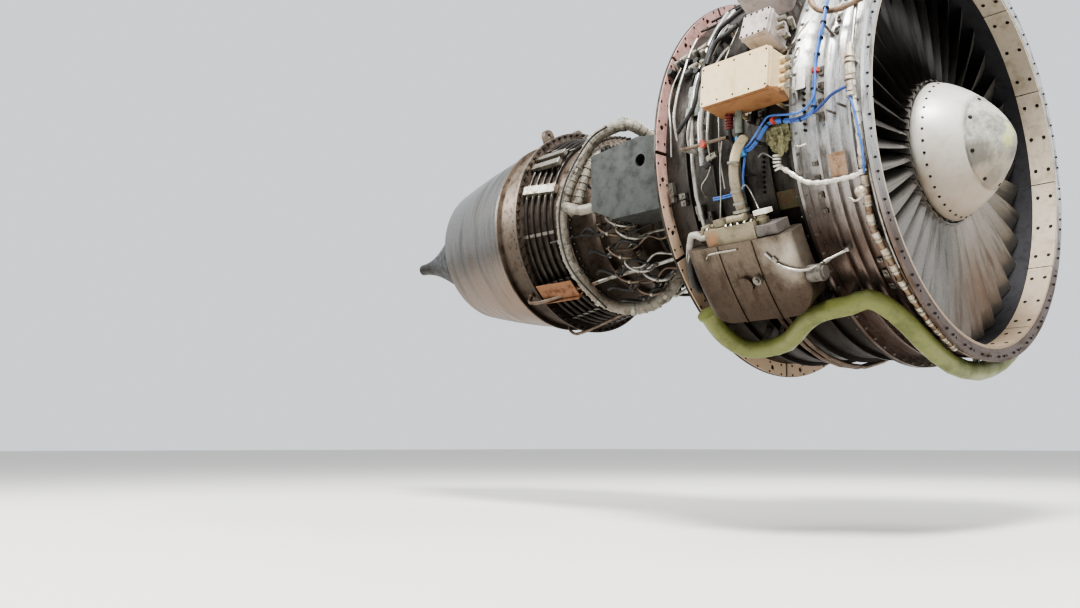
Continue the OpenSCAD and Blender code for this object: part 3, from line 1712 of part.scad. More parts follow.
module oil_tank() {
    saddle_w = 22;
    seam_w = 7;
    seam_h = 4;
    boss_d = 60;
    color("#8d8273")
        union() {
            intersection() {
                union() {
                    sector_of(tank_top_clock, tank_bottom_clock)
                        translate([(tank_inner_r + tank_outer_r) / 2, -tank_station - tank_l / 2])
                            rotate(90)
                                rounded_plate(tank_l, tank_d, tank_round);
                    for (s = [tank_station + 0.33 * tank_l, tank_station + 0.66 * tank_l])
                        sector(ring_profile(tank_outer_r - 2, tank_outer_r + seam_h,
                            s - seam_w / 2, s + seam_w / 2), tank_top_clock, tank_bottom_clock);
                }
                at_clock((tank_top_clock + tank_bottom_clock) / 2, tank_inner_r - 60,
                    tank_station + tank_l / 2)
                    linear_extrude(height = tank_d + 100)
                        tank_outline();
            }
            for (s = [350, 590])
                sector(ring_profile(frame_outer_r + seat, tank_inner_r + 1, s - saddle_w / 2,
                    s + saddle_w / 2), tank_top_clock + 3, tank_bottom_clock - 3);
            at_clock(tank_top_clock + 9, tank_outer_r - 4, tank_station + 0.5 * tank_l)
                cylinder(d = boss_d, h = 18);
        }
}

module oil_tank_head() {
    depth = tank_d - 34;
    color("#a39a86")
        union() {
            sector(ring_profile(cap_r - depth / 2, cap_r + depth / 2, head_front, head_rear),
                head_top_clock, tank_top_clock);
            at_clock(head_top_clock, cap_r, cap_station)
                rotate([-90, 0, 0])
                    cylinder(r = neck_r, h = neck_h);
        }
}

module oil_filler_cap() {
    lever_l = 26;
    color("#b4b2ac")
        at_clock(head_top_clock, cap_r, cap_station)
            rotate([-90, 0, 0])
                difference() {
                    union() {
                        translate([0, 0, 3])
                            cylinder(d = oil_cap_d, h = cap_h);
                        translate([-6, 0, cap_h - 6])
                            cube([12, oil_cap_d / 2 + lever_l, 7]);
                    }
                    cylinder(r = neck_r + seat, h = neck_h + seat);
                }
}

// Gearboxes and what they drive, on the engine's left side
gearbox_station = 332;
gearbox_rear = gearbox_station + gearbox_t;
gearbox_inner_r = frame_outer_r + gearbox_standoff;
gearbox_r = gearbox_inner_r + gearbox_d / 2 + 9;
gearbox_clocks = [230, 302];
pad_t = 12;
starter_clock = 238;
generator_clock = 252;
hydraulic_clock = 292;
fuel_pump_clock = 288;
starter_l = 250;
generator_l = 300;
hydraulic_pump_l = 190;
fuel_pump_l = 190;
starter_inlet_station = 128;
starter_inlet_h = 30;

module accessory_gearbox() {
    rib = 7;
    outer_r = gearbox_inner_r + gearbox_d;
    middle = (gearbox_station + gearbox_rear) / 2;
    fall = 18;
    color("#8f9295")
        union() {
            sector([
                [gearbox_inner_r, -gearbox_station - pad_t],
                [outer_r - fall, -gearbox_station - pad_t],
                [outer_r, -gearbox_station - pad_t - fall],
                [outer_r, -middle + rib], [outer_r + 2 * rib, -middle + rib],
                [outer_r + 2 * rib, -middle - rib], [outer_r, -middle - rib],
                [outer_r, -gearbox_rear + pad_t + fall],
                [outer_r - fall, -gearbox_rear + pad_t],
                [gearbox_inner_r, -gearbox_rear + pad_t]
            ], gearbox_clocks[0], gearbox_clocks[1]);
            for (clock = [starter_clock, fuel_pump_clock])
                at_clock(clock, gearbox_r)
                    barrel(gearbox_d - 12, gearbox_station, middle);
            for (clock = [generator_clock, 270, hydraulic_clock])
                at_clock(clock, gearbox_r)
                    barrel(gearbox_d - 12, middle, gearbox_rear);
            for (clock = [233, 262, 296])
                sector(ring_profile(frame_outer_r + seat, gearbox_inner_r + 1, 356, 384),
                    clock - 2, clock + 2);
        }
}

// A round accessory on the engine axis: [diameter, front, rear] for each of its steps
module stepped_barrel(clock, steps) {
    at_clock(clock, gearbox_r)
        union()
            for (s = steps)
                barrel(s[0], s[1], s[2]);
}

module starter() {
    front = gearbox_station - starter_l;
    color("#86898c")
        union() {
            stepped_barrel(starter_clock, [
                [starter_d, gearbox_station - 12, gearbox_station],
                [starter_d - 34, front + 120, gearbox_station - 11],
                [starter_d - 8, front + 20, front + 121],
                [starter_d - 60, front, front + 21]
            ]);
            at_clock(starter_clock, gearbox_r, starter_inlet_station)
                rotate([-90, 0, 0])
                    cylinder(d = air_duct_d, h = starter_d / 2 + starter_inlet_h);
        }
}

module generator() {
    rear = gearbox_rear + generator_l;
    color("#7f8386")
        stepped_barrel(generator_clock, [
            [generator_d - 40, gearbox_rear, gearbox_rear + 14],
            [generator_d - 60, gearbox_rear + 13, gearbox_rear + 40],
            [generator_d, gearbox_rear + 39, rear - 60],
            [generator_d - 20, rear - 61, rear]
        ]);
}

module hydraulic_pump() {
    rear = gearbox_rear + hydraulic_pump_l;
    color("#8a8578")
        union() {
            stepped_barrel(hydraulic_clock, [
                [hydraulic_pump_d, gearbox_rear, gearbox_rear + 12],
                [hydraulic_pump_d - 36, gearbox_rear + 11, gearbox_rear + 40],
                [hydraulic_pump_d - 14, gearbox_rear + 39, rear]
            ]);
            at_clock(hydraulic_clock, gearbox_r, rear - 50)
                cylinder(d = 40, h = hydraulic_pump_d / 2 + 12);
        }
}

lever_pin_d = 14;
lever_pin_l = 16;

module fuel_pump() {
    front = gearbox_station - fuel_pump_l;
    color("#94938d")
        union() {
            stepped_barrel(fuel_pump_clock, [
                [fuel_pump_d, gearbox_station - 12, gearbox_station],
                [fuel_pump_d - 50, gearbox_station - 44, gearbox_station - 11],
                [fuel_pump_d - 24, front, gearbox_station - 43],
                [lever_pin_d, front - lever_pin_l, front + 1]
            ]);
            at_clock(fuel_pump_clock, gearbox_r, front + 50)
                linear_extrude(height = fuel_pump_d / 2 + 14)
                    rounded_plate(84, 96, 12);
        }
}

module fuel_control_lever() {
    arm = 64;
    t = 8;
    front = gearbox_station - fuel_pump_l - lever_pin_l + 3;
    color("#b0aba0")
        at_clock(fuel_pump_clock, gearbox_r)
            difference() {
                union() {
                    barrel(2 * lever_pin_d, front, front + t);
                    translate([-front - t, -lever_pin_d / 2, 0])
                        cube([t, lever_pin_d, arm]);
                    translate([0, 0, arm])
                        barrel(lever_pin_d + 6, front, front + t);
                }
                barrel(lever_pin_d + 2 * seat, front - 1, front + t + 1);
                translate([0, 0, arm])
                    barrel(lever_pin_d / 2, front - 1, front + t + 1);
            }
}

transfer_bottom_r = frame_outer_r + rib_h + 1;
transfer_depth = 110;
transfer_shaft_d = 46;
transfer_shaft_drop = 4 + transfer_shaft_d / 2;
transfer_shaft_r = transfer_bottom_r + transfer_depth - transfer_shaft_drop;

module transfer_gearbox() {
    l = 140;
    w = 116;
    foot_w = 5;
    front = bevel_station - l / 2;
    journal = drive_top - drive_journal_l;
    color("#909396")
        difference() {
            union() {
                at_clock(drive_clock, transfer_bottom_r, bevel_station)
                    linear_extrude(height = transfer_depth)
                        rounded_plate(l, w, 22);
                for (s = [bevel_station - 40, bevel_station + 40])
                    sector(ring_profile(frame_outer_r + seat, transfer_bottom_r + 1, s - 14,
                        s + 14), drive_clock - foot_w, drive_clock + foot_w);
                at_clock(drive_clock, transfer_shaft_r)
                    barrel(transfer_shaft_d, gearbox_rear, front + 1);
                at_clock(drive_clock, transfer_shaft_r)
                    barrel(transfer_shaft_d + 20, front - 9, front + 1);
            }
            at_clock(drive_clock, 0, bevel_station) {
                cylinder(r = radial_shaft_r + seat, h = drive_top + 2);
                cylinder(r = drive_bore_r, h = journal);
            }
        }
}

// Cooled air duct from the engine's right side, under the case, to the starter
duct_route = [
    [806, 134.5, 884], [812, 139, 880], [806, 144, 876], [768, 149, 874], [690, 150, 874],
    [560, 148, 874],
    [440, 142, 876], [360, 139, 880], [290, 138, 882], [225, 138, 872], [165, 138, 850],
    [118, 141, 848], [86, 147, 848], [78, 156, 848], [84, 170, 850], [92, 186, 856],
    [104, 202, 866], [120, 216, 890]
];

module air_duct() {
    coupling_l = 24;
    end_y = starter_d / 2 + starter_inlet_h;
    clips = [[806, 144, 876], [690, 150, 874], [610, 148.9, 874], [345, 138.6, 880],
        [225, 138, 872], [92, 186, 856]];
    route = concat(duct_route, [
        [starter_inlet_station, starter_clock - atan((end_y + 70) / gearbox_r),
            norm([end_y + 70, gearbox_r])],
        [starter_inlet_station, starter_clock - atan((end_y + 14) / gearbox_r),
            norm([end_y + 14, gearbox_r])]
    ]);
    color("#a3a55f")
        union() {
            pipe(air_duct_d, route, 2, 12);
            at_clock(starter_clock, gearbox_r, starter_inlet_station)
                rotate([-90, 0, 0])
                    translate([0, 0, end_y + seat])
                        cylinder(d = air_duct_d + 10, h = coupling_l);
            for (p = clips)
                clip(p, shell_r(p[0]), 20);
            at_clock(duct_route[0][1], duct_route[0][2], duct_route[0][0])
                rotate([90, 0, 0])
                    cylinder(d = air_duct_d + 16, h = 12);
        }
}

tank_drain_r = tank_inner_r + 16;
flange_over_r = frame_flange_r + 17;

// Pipes on the fan case, as [diameter, route, clips]
case_pipe_list = [
    [30, [[head_rear + seat, 114.2, 925], [head_rear + 24, 114.2, 925],
        [head_rear + 48, 114.2, 925], [705, 113.2, 916],
        [766, 119.6, 900], [806, 126.2, 880], [812, 129, 850], [812, 130, 822],
        [812, 130.3, 806]], [[688, 113.3, 910], [812, 130.2, 806]]],
    [16, [[62, 62, 822], [56, 70, 816], [52, 80, 816], [46, 90, 814], [38, 97, 812],
        [42, 105, 812], [60, 118, 814], [60, 123, 814], [48, 129, 812], [42, 137, 812],
        [34, 150, 812], [40, 165, 812], [46, 185, 812], [50, 205, 815], [64, 222, 830],
        [74, 232, 860]], [[52, 80, 816], [42, 105, 812], [42, 137, 812], [40, 165, 812],
        [50, 205, 815]]],
    [12, [[30, 96, 806], [28, 110, 804], [32, 125, 804], [30, 140, 804], [26, 158, 804],
        [28, 180, 804], [30, 200, 804]], [[28, 110, 804], [30, 140, 804], [28, 180, 804],
        [30, 200, 804]]],
    [38, [[432, 94, 880], [446, 96, 905], [458, 100, 925], [462, 104, 930], [462, 108, 925],
        [462, 112, 920]], [[430, 94.6, 872]]],
    [14, [[700, 93, 900], [650, 93, 900], [600, 93, 900], [545, 93, 900], [495, 93, 900]],
        [[692, 93, 900], [502, 93, 900]]],
    [14, [[330, 102, 840], [291, 104, flange_over_r], [240, 107, 840], [167, 108, 830], [76, 108, 828],
        [31, 107, 815]], [[310, 103, 844], [230, 107, 840], [92, 108, 828]]],
    [10, [[372, 119, 993.4], [339, 121.5, 991.4], [296, 123, 996], [250, 124.5, 962],
        [220, 125, 880], [174, 125, 820]], [[176, 125, 822]]],
    [26, [[664, 46, 830], [670, 58, 828], [662, 72, 828], [668, 86, 828], [664, 97, 826]],
        [[670, 58, 828], [668, 86, 828]]],
    [20, [[712, 44, 826], [706, 60, 826], [714, 76, 826], [708, 90, 826], [712, 104, 826],
        [706, 118, 824]], [[706, 60, 826], [708, 90, 826], [706, 118, 824]]],
    [18, [[540, 134.9, 862], [540, 137, 842], [542, 141, 816], [545, 150, 812], [546, 165, 812],
        [546, 185, 812], [542, 205, 812], [500, 218, 826], [452, 225, 860], [414, 229, 890]],
        [[545, 150, 812], [542, 205, 812]]],
    [18, [[572, 134.9, 862], [572, 137, 842], [573, 141, 816], [576, 150, 812], [578, 165, 812],
        [578, 185, 812], [574, 205, 812], [540, 218, 830], [488, 226, 876], [436, 229.2, 912]],
        [[576, 150, 812], [574, 205, 812]]],
    [18, [[590, 292, 1004], [594, 292.5, 1022], [614, 296, 1026], [642, 304, 970],
        [680, 312, 880], [690, 325, 826], [690, 345, 822], [690, 360, 822]],
        [[690, 325, 826], [690, 358, 822]]],
    [18, [[192, 288, 1034], [192, 290, 1046], [186, 298, 1020], [180, 308, 930], [172, 318, 860],
        [178, 330, 822], [178, 348, 820], [178, 366, 820]], [[178, 330, 822], [178, 364, 820]]]
];

module case_pipes() {
    fitting_d = 26;
    fitting_l = 12;
    color("#a8a39a")
        union() {
            for (p = case_pipe_list) {
                if (goes_far(p[1]))
                    pipe_runs(p[0], p[1], 4);
                else
                    pipe(p[0], p[1], 2, 6);
                for (c = p[2])
                    clip(c, shell_r(c[0]), 14);
            }
            for (station = [540, 572])
                at_clock(tank_bottom_clock, tank_drain_r, station)
                    rotate([90, 0, 0])
                        translate([0, 0, seat])
                            cylinder(d = fitting_d, h = fitting_l);
            for (end = [[gearbox_rear + hydraulic_pump_l - 50, hydraulic_clock,
                        gearbox_r + hydraulic_pump_d / 2 + 12],
                    [gearbox_station - fuel_pump_l + 50, fuel_pump_clock,
                        gearbox_r + fuel_pump_d / 2 + 14]])
                at_clock(end[1], end[2] + seat, end[0])
                    cylinder(d = fitting_d, h = fitting_l);
        }
}

harness_list = [
    [22, [[226, 40, 866], [190, 52, 862], [158, 62, 856], [150, 70, 854], [160, 78, 852],
        [166, 86, 850], [162, 91, 850], [200, 93, 856], [252, 93, 866], [331, 92.5, 868],
        [385, 93, 856], [420, 98, 840], [480, 104, 830], [580, 106, 828], [640, 106, 826]],
        [[212, 44.7, 864], [172, 84, 851], [178, 91.8, 852], [331, 92.5, 868], [480, 104, 830],
        [620, 106, 826]]],
    [14, [[36, 84, 838], [60, 89, 838], [92, 91, 838], [130, 92, 842], [180, 93, 852]],
        [[92, 91, 838], [130, 92, 842]]],
    [16, [[226, 43, 846], [224, 30, 842], [224, 10, 842], [224, -10, 842], [224, -30, 842],
        [224, -50, 848]], [[224, 10, 842], [224, -30, 842]]]
];

module wiring_harness() {
    color("#4d6aa0")
        union()
            for (p = harness_list) {
                if (goes_far(p[1]))
                    pipe_runs(p[0], p[1], 4);
                else
                    pipe(p[0], p[1], 2, 6);
                for (c = p[2])
                    clip(c, shell_r(c[0]), 12);
            }
}

core_pipe_list = [
    [20, [[896, 138, 362], [930, 138, 376], [1050, 138, 384], [1250, 138, 388], [1400, 138, 420],
        [1560, 138, 440], [1700, 138, 470], [1830, 138, 515], [2000, 138, 555], [2110, 138, 560],
        [2158, 138, 536], [2164, 138, 500]], false],
    [16, [[896, 171, 360], [930, 171, 373], [1100, 171, 377], [1300, 171, 380], [1420, 171, 424],
        [1600, 171, 436], [1760, 171, 480], [1900, 171, 520], [2050, 171, 556], [2110, 171, 556],
        [2150, 171, 526], [2154, 171, 500]], false],
    [16, [[896, 207, 360], [930, 207, 374], [1100, 207, 377], [1300, 207, 380], [1400, 207, 415],
        [1440, 207, 430]], true],
    [12, [[896, 117, 362], [930, 117, 370], [1050, 117, 371], [1200, 117, 366], [1330, 117, 352],
        [1400, 117, 400], [1440, 117, 424]], true]
];

module core_pipes() {
    collar = 10;
    color("#8c857b")
        union()
            for (p = core_pipe_list) {
                last = p[1][len(p[1]) - 1];
                first = p[1][0];
                foot_r = p[2] ? combustor_outer_r : lpt_rear_r + rear_frame_wall;
                pipe_runs(p[0], p[1], 6);
                at_clock(first[1], first[2])
                    barrel(p[0] + collar, frame_rear + seat, frame_rear + collar);
                at_clock(last[1], foot_r + seat, last[0])
                    cylinder(d = p[0] + collar, h = p[2] ? last[2] - foot_r : collar);
            }
}

// Hot air manifold of the core, and the cooler it feeds
bleed_station = 1345;

function bleed_foot_r(d) =
    compressor_tip_radius(bleed_station - d / 2) + compressor_wall + seat;

module bleed_duct() {
    boss_d = bleed_d + 6;
    main_route = [
        [1345, 48, 285], [1347, 48, 340], [1362, 48, 440], [1410, 49, 525], [1495, 52, 550],
        [1594, 60, 550], [1673, 84, 550], [1714, 96, 550], [1731, 113, 550], [1722, 124, 550],
        [1684, 143, 550], [1600, 154, 540], [1480, 160, 500], [1390, 161, 420],
        [1348, 161, 340], [1345, 161, 285]
    ];
    branch = [[1690, 92, 552], [1640, 94, 556], [1580, 96, 556], [1520, 96, 552], [1472, 96, 550]];
    color("#b9bab4")
        union() {
            pipe(bleed_d, main_route, 2, 12);
            pipe(bleed_d * 0.86, branch, 2, 12);
            for (clock = [48, 161])
                at_clock(clock, bleed_foot_r(boss_d), bleed_station)
                    cylinder(d = boss_d, h = 30);
        }
}

cooler_outer_y = 600;
cooler_inner_y = 430;
cooler_outline = [
    [-1467, 161], [-1187, 189], [-992, 157], [-941, 89], [-930, -90], [-985, -150],
    [-1330, -150], [-1467, -90]
];

module precooler() {
    port_r = 27;
    port = [-1172, 81];
    fin_t = 4;
    fin_base = 150;
    fin_pitch = 24;
    fin_count = 9;
    post_stations = [1170, 1290];
    post_d = 30;
    color("#8d9488")
        difference() {
            union() {
                translate([0, -cooler_inner_y, 0])
                    rotate([90, 0, 0])
                        linear_extrude(height = cooler_outer_y - cooler_inner_y)
                            polygon(cooler_outline);
                for (i = [0 : fin_count - 1])
                    translate([-1420 + i * fin_pitch, -cooler_outer_y + 12, fin_base])
                        cube([fin_t, cooler_outer_y - cooler_inner_y - 24, 40]);
                for (s = post_stations)
                    at_clock(90, compressor_tip_radius(s - post_d / 2) + compressor_wall + seat, s)
                        cylinder(d = post_d, h = cooler_inner_y - compressor_inlet_hub_r - 80);
            }
            translate([port[0], -cooler_outer_y - 1, port[1]])
                rotate([-90, 0, 0])
                    cylinder(r = port_r, h = 40);
        }
}

mount_t = 25;
mount_top = 560;
mount_plate_l = 170;
mount_bolt_spacing = 84;

module forward_mount() {
    foot_inner_r = compressor_inlet_tip_r + compressor_wall + 26;
    front = frame_rear;
    rear = front + mount_t;
    half = mount_plate_w / 2;
    plate_front = front - 20;
    gusset_t = 14;
    color("#7a7d80")
        difference() {
            union() {
                sector(ring_profile(foot_inner_r, hub_r - 2, front, rear - 6), -20, 20);
                along_axis(front, rear)
                    polygon([
                        [-118, 366], [-half, 470], [-half, mount_top - mount_t + 1],
                        [half, mount_top - mount_t + 1], [half, 470], [118, 366],
                        [60, 384], [-60, 384]
                    ]);
                translate([-plate_front - mount_plate_l, -half, mount_top - mount_t])
                    cube([mount_plate_l, mount_plate_w, mount_t]);
                for (y = [-half + 8, half - gusset_t - 8])
                    translate([0, y + gusset_t, 0])
                        rotate([90, 0, 0])
                            linear_extrude(height = gusset_t)
                                polygon([
                                    [-rear + 1, mount_top - mount_t + 1],
                                    [-plate_front - mount_plate_l, mount_top - mount_t + 1],
                                    [-rear + 1, mount_top - mount_t - 100]
                                ]);
            }
            for (x = [-1, 1], y = [-1, 1])
                translate([x * mount_bolt_spacing / 2 - (rear + plate_front + mount_plate_l) / 2,
                    y * mount_bolt_spacing / 2, mount_top - 2 * mount_t])
                    cylinder(r = mount_bolt_r, h = 3 * mount_t);
            translate([0, 0, 468])
                barrel(96, front - 1, rear + 1);
        }
}

spinner_nose();
spinner_rear_cone();
fan_disk();
fan_blades();
booster_drum();
booster_blades();
lp_shaft();
lp_turbine_rotor();
lp_turbine_blades();
core_compressor_drum();
core_compressor_blades();
core_turbine_disk();
core_turbine_blades();
radial_drive_shaft();
fan_inlet_case();
acoustic_panels();
tip_shroud();
fan_frame_case();
fan_frame_struts();
fan_frame_hub();
outlet_guide_vanes();
rear_rim_panels();
booster_case();
booster_vanes();
shaft_bearings();
core_compressor_case();
core_compressor_vanes();
vane_rings();
combustor_case();
flame_tube();
fuel_nozzles();
fuel_manifold();
core_turbine_case();
core_turbine_vanes();
lp_turbine_case();
lp_turbine_vanes();
cooling_tubes();
rear_frame_ring();
rear_frame_hub();
exhaust_nozzle();
exhaust_plug();
bleed_duct();
precooler();
control_box();
ignition_boxes();
oil_tank();
oil_tank_head();
oil_filler_cap();
air_duct();
accessory_gearbox();
transfer_gearbox();
fuel_pump();
fuel_control_lever();
starter();
generator();
hydraulic_pump();
case_pipes();
wiring_harness();
core_pipes();
forward_mount();
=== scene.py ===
"""Looks of a bare turbofan jet engine, taken out of its nacelle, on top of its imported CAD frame."""

import json
import math

import bmesh
import bpy
from mathutils import Matrix, Vector, noise

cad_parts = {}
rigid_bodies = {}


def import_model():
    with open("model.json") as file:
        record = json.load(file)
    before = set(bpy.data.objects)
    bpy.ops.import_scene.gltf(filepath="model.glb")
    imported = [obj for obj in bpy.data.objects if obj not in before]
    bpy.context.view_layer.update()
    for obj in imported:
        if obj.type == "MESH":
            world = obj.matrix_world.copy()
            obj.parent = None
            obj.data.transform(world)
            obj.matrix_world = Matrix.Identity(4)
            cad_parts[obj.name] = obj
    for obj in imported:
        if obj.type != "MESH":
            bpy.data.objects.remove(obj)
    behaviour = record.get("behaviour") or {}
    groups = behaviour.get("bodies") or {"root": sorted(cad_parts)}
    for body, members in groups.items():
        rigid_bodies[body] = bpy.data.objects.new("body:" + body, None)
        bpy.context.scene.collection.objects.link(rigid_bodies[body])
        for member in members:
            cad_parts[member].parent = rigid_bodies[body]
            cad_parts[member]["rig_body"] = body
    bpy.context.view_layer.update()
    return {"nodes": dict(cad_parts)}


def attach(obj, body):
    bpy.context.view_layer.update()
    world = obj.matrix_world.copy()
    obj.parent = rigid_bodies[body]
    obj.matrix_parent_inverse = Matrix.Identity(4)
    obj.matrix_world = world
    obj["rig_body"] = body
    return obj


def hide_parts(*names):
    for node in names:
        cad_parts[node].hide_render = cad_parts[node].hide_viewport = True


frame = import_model()

# Fan blades
# Forged titanium, ground along the blade and dulled by years of air, dust and rain. Each is slid
# into the disk by its dovetail foot, so a blade's platform meets its neighbours' round the hub.


def srgb(code):
    """The linear colour of an sRGB hex code."""
    parts = [int(code[i : i + 2], 16) / 255 for i in (1, 3, 5)]
    return [c / 12.92 if c <= 0.04045 else ((c + 0.055) / 1.055) ** 2.4 for c in parts] + [1.0]


def add_node(tree, kind, inputs=None, **settings):
    """Adds a shader node. An input that is another node's socket is linked, any other is set."""
    node = tree.nodes.new("ShaderNode" + kind)
    for name, value in settings.items():
        setattr(node, name, value)
    for socket, value in (inputs or {}).items():
        if isinstance(value, bpy.types.NodeSocket):
            tree.links.new(value, node.inputs[socket])
        else:
            node.inputs[socket].default_value = value
    return node


def weathered(name, clean, worn, grime, metallic, rough, patch=90, grain=(1, 1, 1), bump=0.2,
              cover=0.5, belly=None, speck=0.35, turned=False):
    """An aged surface: worn patches and specks of grime over the clean finish, with a grain.

    patch is the size of a worn patch in mm, and the specks of grime are 4.5 times finer. grain
    stretches the pattern along the axes or, where it is turned, along the engine, round it and away
    from it. cover is how much is worn and speck how strong the grime is. belly is (top, bottom,
    colour) of a colour that thickens from one height in metres down to another: grime and dust on
    some finishes, painted shade and painted reflection on others.
    """
    material = bpy.data.materials.new(name)
    material.use_nodes = True
    tree = material.node_tree
    shader = tree.nodes["Principled BSDF"]
    place = add_node(tree, "TexCoord").outputs["Object"]
    pattern = place
    if turned:
        axes = add_node(tree, "SeparateXYZ", {"Vector": place}).outputs
        angle = add_node(tree, "Math", {0: axes["Y"], 1: axes["Z"]}, operation="ARCTAN2")
        level = add_node(tree, "CombineXYZ", {"Y": axes["Y"], "Z": axes["Z"]}).outputs["Vector"]
        away = add_node(tree, "VectorMath", {0: level}, operation="LENGTH").outputs["Value"]
        pattern = add_node(tree, "CombineXYZ", {"X": axes["X"], "Y": angle.outputs["Value"],
                                                "Z": away}).outputs["Vector"]
    along = add_node(tree, "Mapping", {"Vector": pattern, "Scale": grain}).outputs["Vector"]
    wear = add_node(tree, "TexNoise", {"Vector": along, "Scale": 1000 / patch, "Detail": 7.0,
                                       "Roughness": 0.62}).outputs["Fac"]
    wear_starts = 0.62 - 0.24 * cover
    wear_full = 0.74 - 0.16 * cover
    wear_edge = add_node(tree, "MapRange", {"Value": wear, "From Min": wear_starts,
                                            "From Max": wear_full}).outputs["Result"]
    spots = add_node(tree, "TexNoise", {"Vector": place, "Scale": 4500 / patch, "Detail": 5.0,
                                        "Roughness": 0.7}).outputs["Fac"]
    spot_edge = add_node(tree, "MapRange", {"Value": spots, "From Min": 0.5, "From Max": 0.78,
                                            "To Max": speck}).outputs["Result"]
    finish = add_node(tree, "Mix", {0: wear_edge, 6: srgb(clean), 7: srgb(worn)},
                      data_type="RGBA").outputs[2]
    finish = add_node(tree, "Mix", {0: spot_edge, 6: finish, 7: srgb(grime)},
                      data_type="RGBA").outputs[2]
    # The belly colour is real grime on some finishes and painted shade on others.
    if belly:
        top, bottom, dirt_and_shade = belly
        ragged = 0.5
        height = add_node(tree, "SeparateXYZ", {"Vector": place}).outputs["Z"]
        broken = add_node(tree, "Math", {0: wear, 1: ragged, 2: height},
                          operation="MULTIPLY_ADD").outputs["Value"]
        depth = add_node(tree, "MapRange", {"Value": broken, "From Min": top + ragged / 2,
                                            "From Max": bottom + ragged / 2,
                                            "To Max": 0.85}).outputs["Result"]
        finish = add_node(tree, "Mix", {0: depth, 6: finish, 7: srgb(dirt_and_shade)},
                          data_type="RGBA").outputs[2]
    tree.links.new(finish, shader.inputs["Base Color"])
    shine = add_node(tree, "MapRange", {"Value": wear, "From Min": 0.3, "From Max": 0.7,
                                        "To Min": rough - 0.08, "To Max": rough + 0.14})
    tree.links.new(shine.outputs["Result"], shader.inputs["Roughness"])
    shader.inputs["Metallic"].default_value = metallic
    if bump:
        relief = add_node(tree, "Bump", {"Height": spots, "Strength": bump,
                                         "Distance": 0.002}).outputs["Normal"]
        tree.links.new(relief, shader.inputs["Normal"])
    return material


def put_in_scene(name, data):
    """A new object with this data, in the scene."""
    thing = bpy.data.objects.new(name, data)
    bpy.context.scene.collection.objects.link(thing)
    return thing


def dress(node, material, smooth=34, bevel=None, zones=()):
    """Copies a CAD node, merges its triangles, rounds its shading and lets the copy stand for it.

    smooth is the sharpest turn in degrees that is shaded round, and bevel the width in metres of
    its rounded edges. zones are (lowest, highest, finish), each a range of (station, clock, radius)
    in mm and degrees whose faces get a finish of their own.
    """
    cad = frame["nodes"][node]
    mesh = cad.data.copy()
    shape = bmesh.new()
    shape.from_mesh(mesh)
    bmesh.ops.remove_doubles(shape, verts=shape.verts, dist=0.00002)
    for face in shape.faces:
        middle = face.calc_center_median()
        spot = (-1000 * middle.x, math.degrees(math.atan2(-middle.y, middle.z)) % 360,
                1000 * math.hypot(middle.y, middle.z))
        for i, (lowest, highest, finish) in enumerate(zones):
            if all(lowest[k] <= spot[k] <= highest[k] for k in range(3)):
                face.material_index = i + 1
    mesh.materials.clear()
    for finish in [material] + [zone[2] for zone in zones]:
        mesh.materials.append(finish)
    shape.to_mesh(mesh)
    shape.free()
    if "custom_normal" in mesh.attributes:
        mesh.attributes.remove(mesh.attributes["custom_normal"])
    piece = put_in_scene(node + "_finished", mesh)
    mesh.shade_smooth()
    mesh.set_sharp_from_angle(angle=math.radians(smooth))
    if bevel:
        edge = piece.modifiers.new("edge", "BEVEL")
        edge.width = bevel
        edge.segments = 2
        edge.limit_method = "ANGLE"
        edge.angle_limit = math.radians(50)
        edge.harden_normals = True
    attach(piece, cad["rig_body"])
    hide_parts(node)
    return piece


def stain_and_shade_patch(material, centre, radius, colour, strength=0.8, core=0.95):
    """Lays a soft round stain with a broken edge over a finish, at a point and a radius in metres.

    It lays painted shade as well as stains. core is the share of the radius within which it is at
    full strength.
    """
    tree = material.node_tree
    shader = tree.nodes["Principled BSDF"]
    before = shader.inputs["Base Color"].links[0].from_socket
    place = add_node(tree, "TexCoord").outputs["Object"]
    apart = add_node(tree, "VectorMath", {0: place, 1: centre}, operation="DISTANCE")
    ragged = add_node(tree, "TexNoise", {"Vector": place, "Scale": 2.2 / radius, "Detail": 6.0})
    reach = add_node(tree, "Math", {0: ragged.outputs["Fac"], 1: 1.1 * radius,
                                    2: apart.outputs["Value"]}, operation="MULTIPLY_ADD")
    edge = add_node(tree, "MapRange", {"Value": reach.outputs["Value"], "From Min": 1.35 * radius,
                                       "From Max": core * radius, "To Max": strength})
    stained = add_node(tree, "Mix", {0: edge.outputs["Result"], 6: before, 7: srgb(colour)},
                       data_type="RGBA")
    tree.links.new(stained.outputs[2], shader.inputs["Base Color"])


# Grinding leaves a fine grain along each blade that draws the light out into a dull sheen, and dirt
# has browned the blades at the bottom of the fan.
titanium = weathered("ground_titanium", "#95918c", "#7a756f", "#453d36", metallic=0.8, rough=0.34,
                     patch=35, grain=(1, 1, 0.12), bump=0.05, cover=0.45, speck=0.3, turned=True)
stain_and_shade_patch(titanium, (-0.187, 0.30, -0.52), 0.42, "#6f5643", 0.7, core=0.45)
stain_and_shade_patch(titanium, (-0.187, 0.0, -0.74), 0.20, "#77604c", 0.4, core=0.4)
dress("fan_blades", titanium, smooth=50)

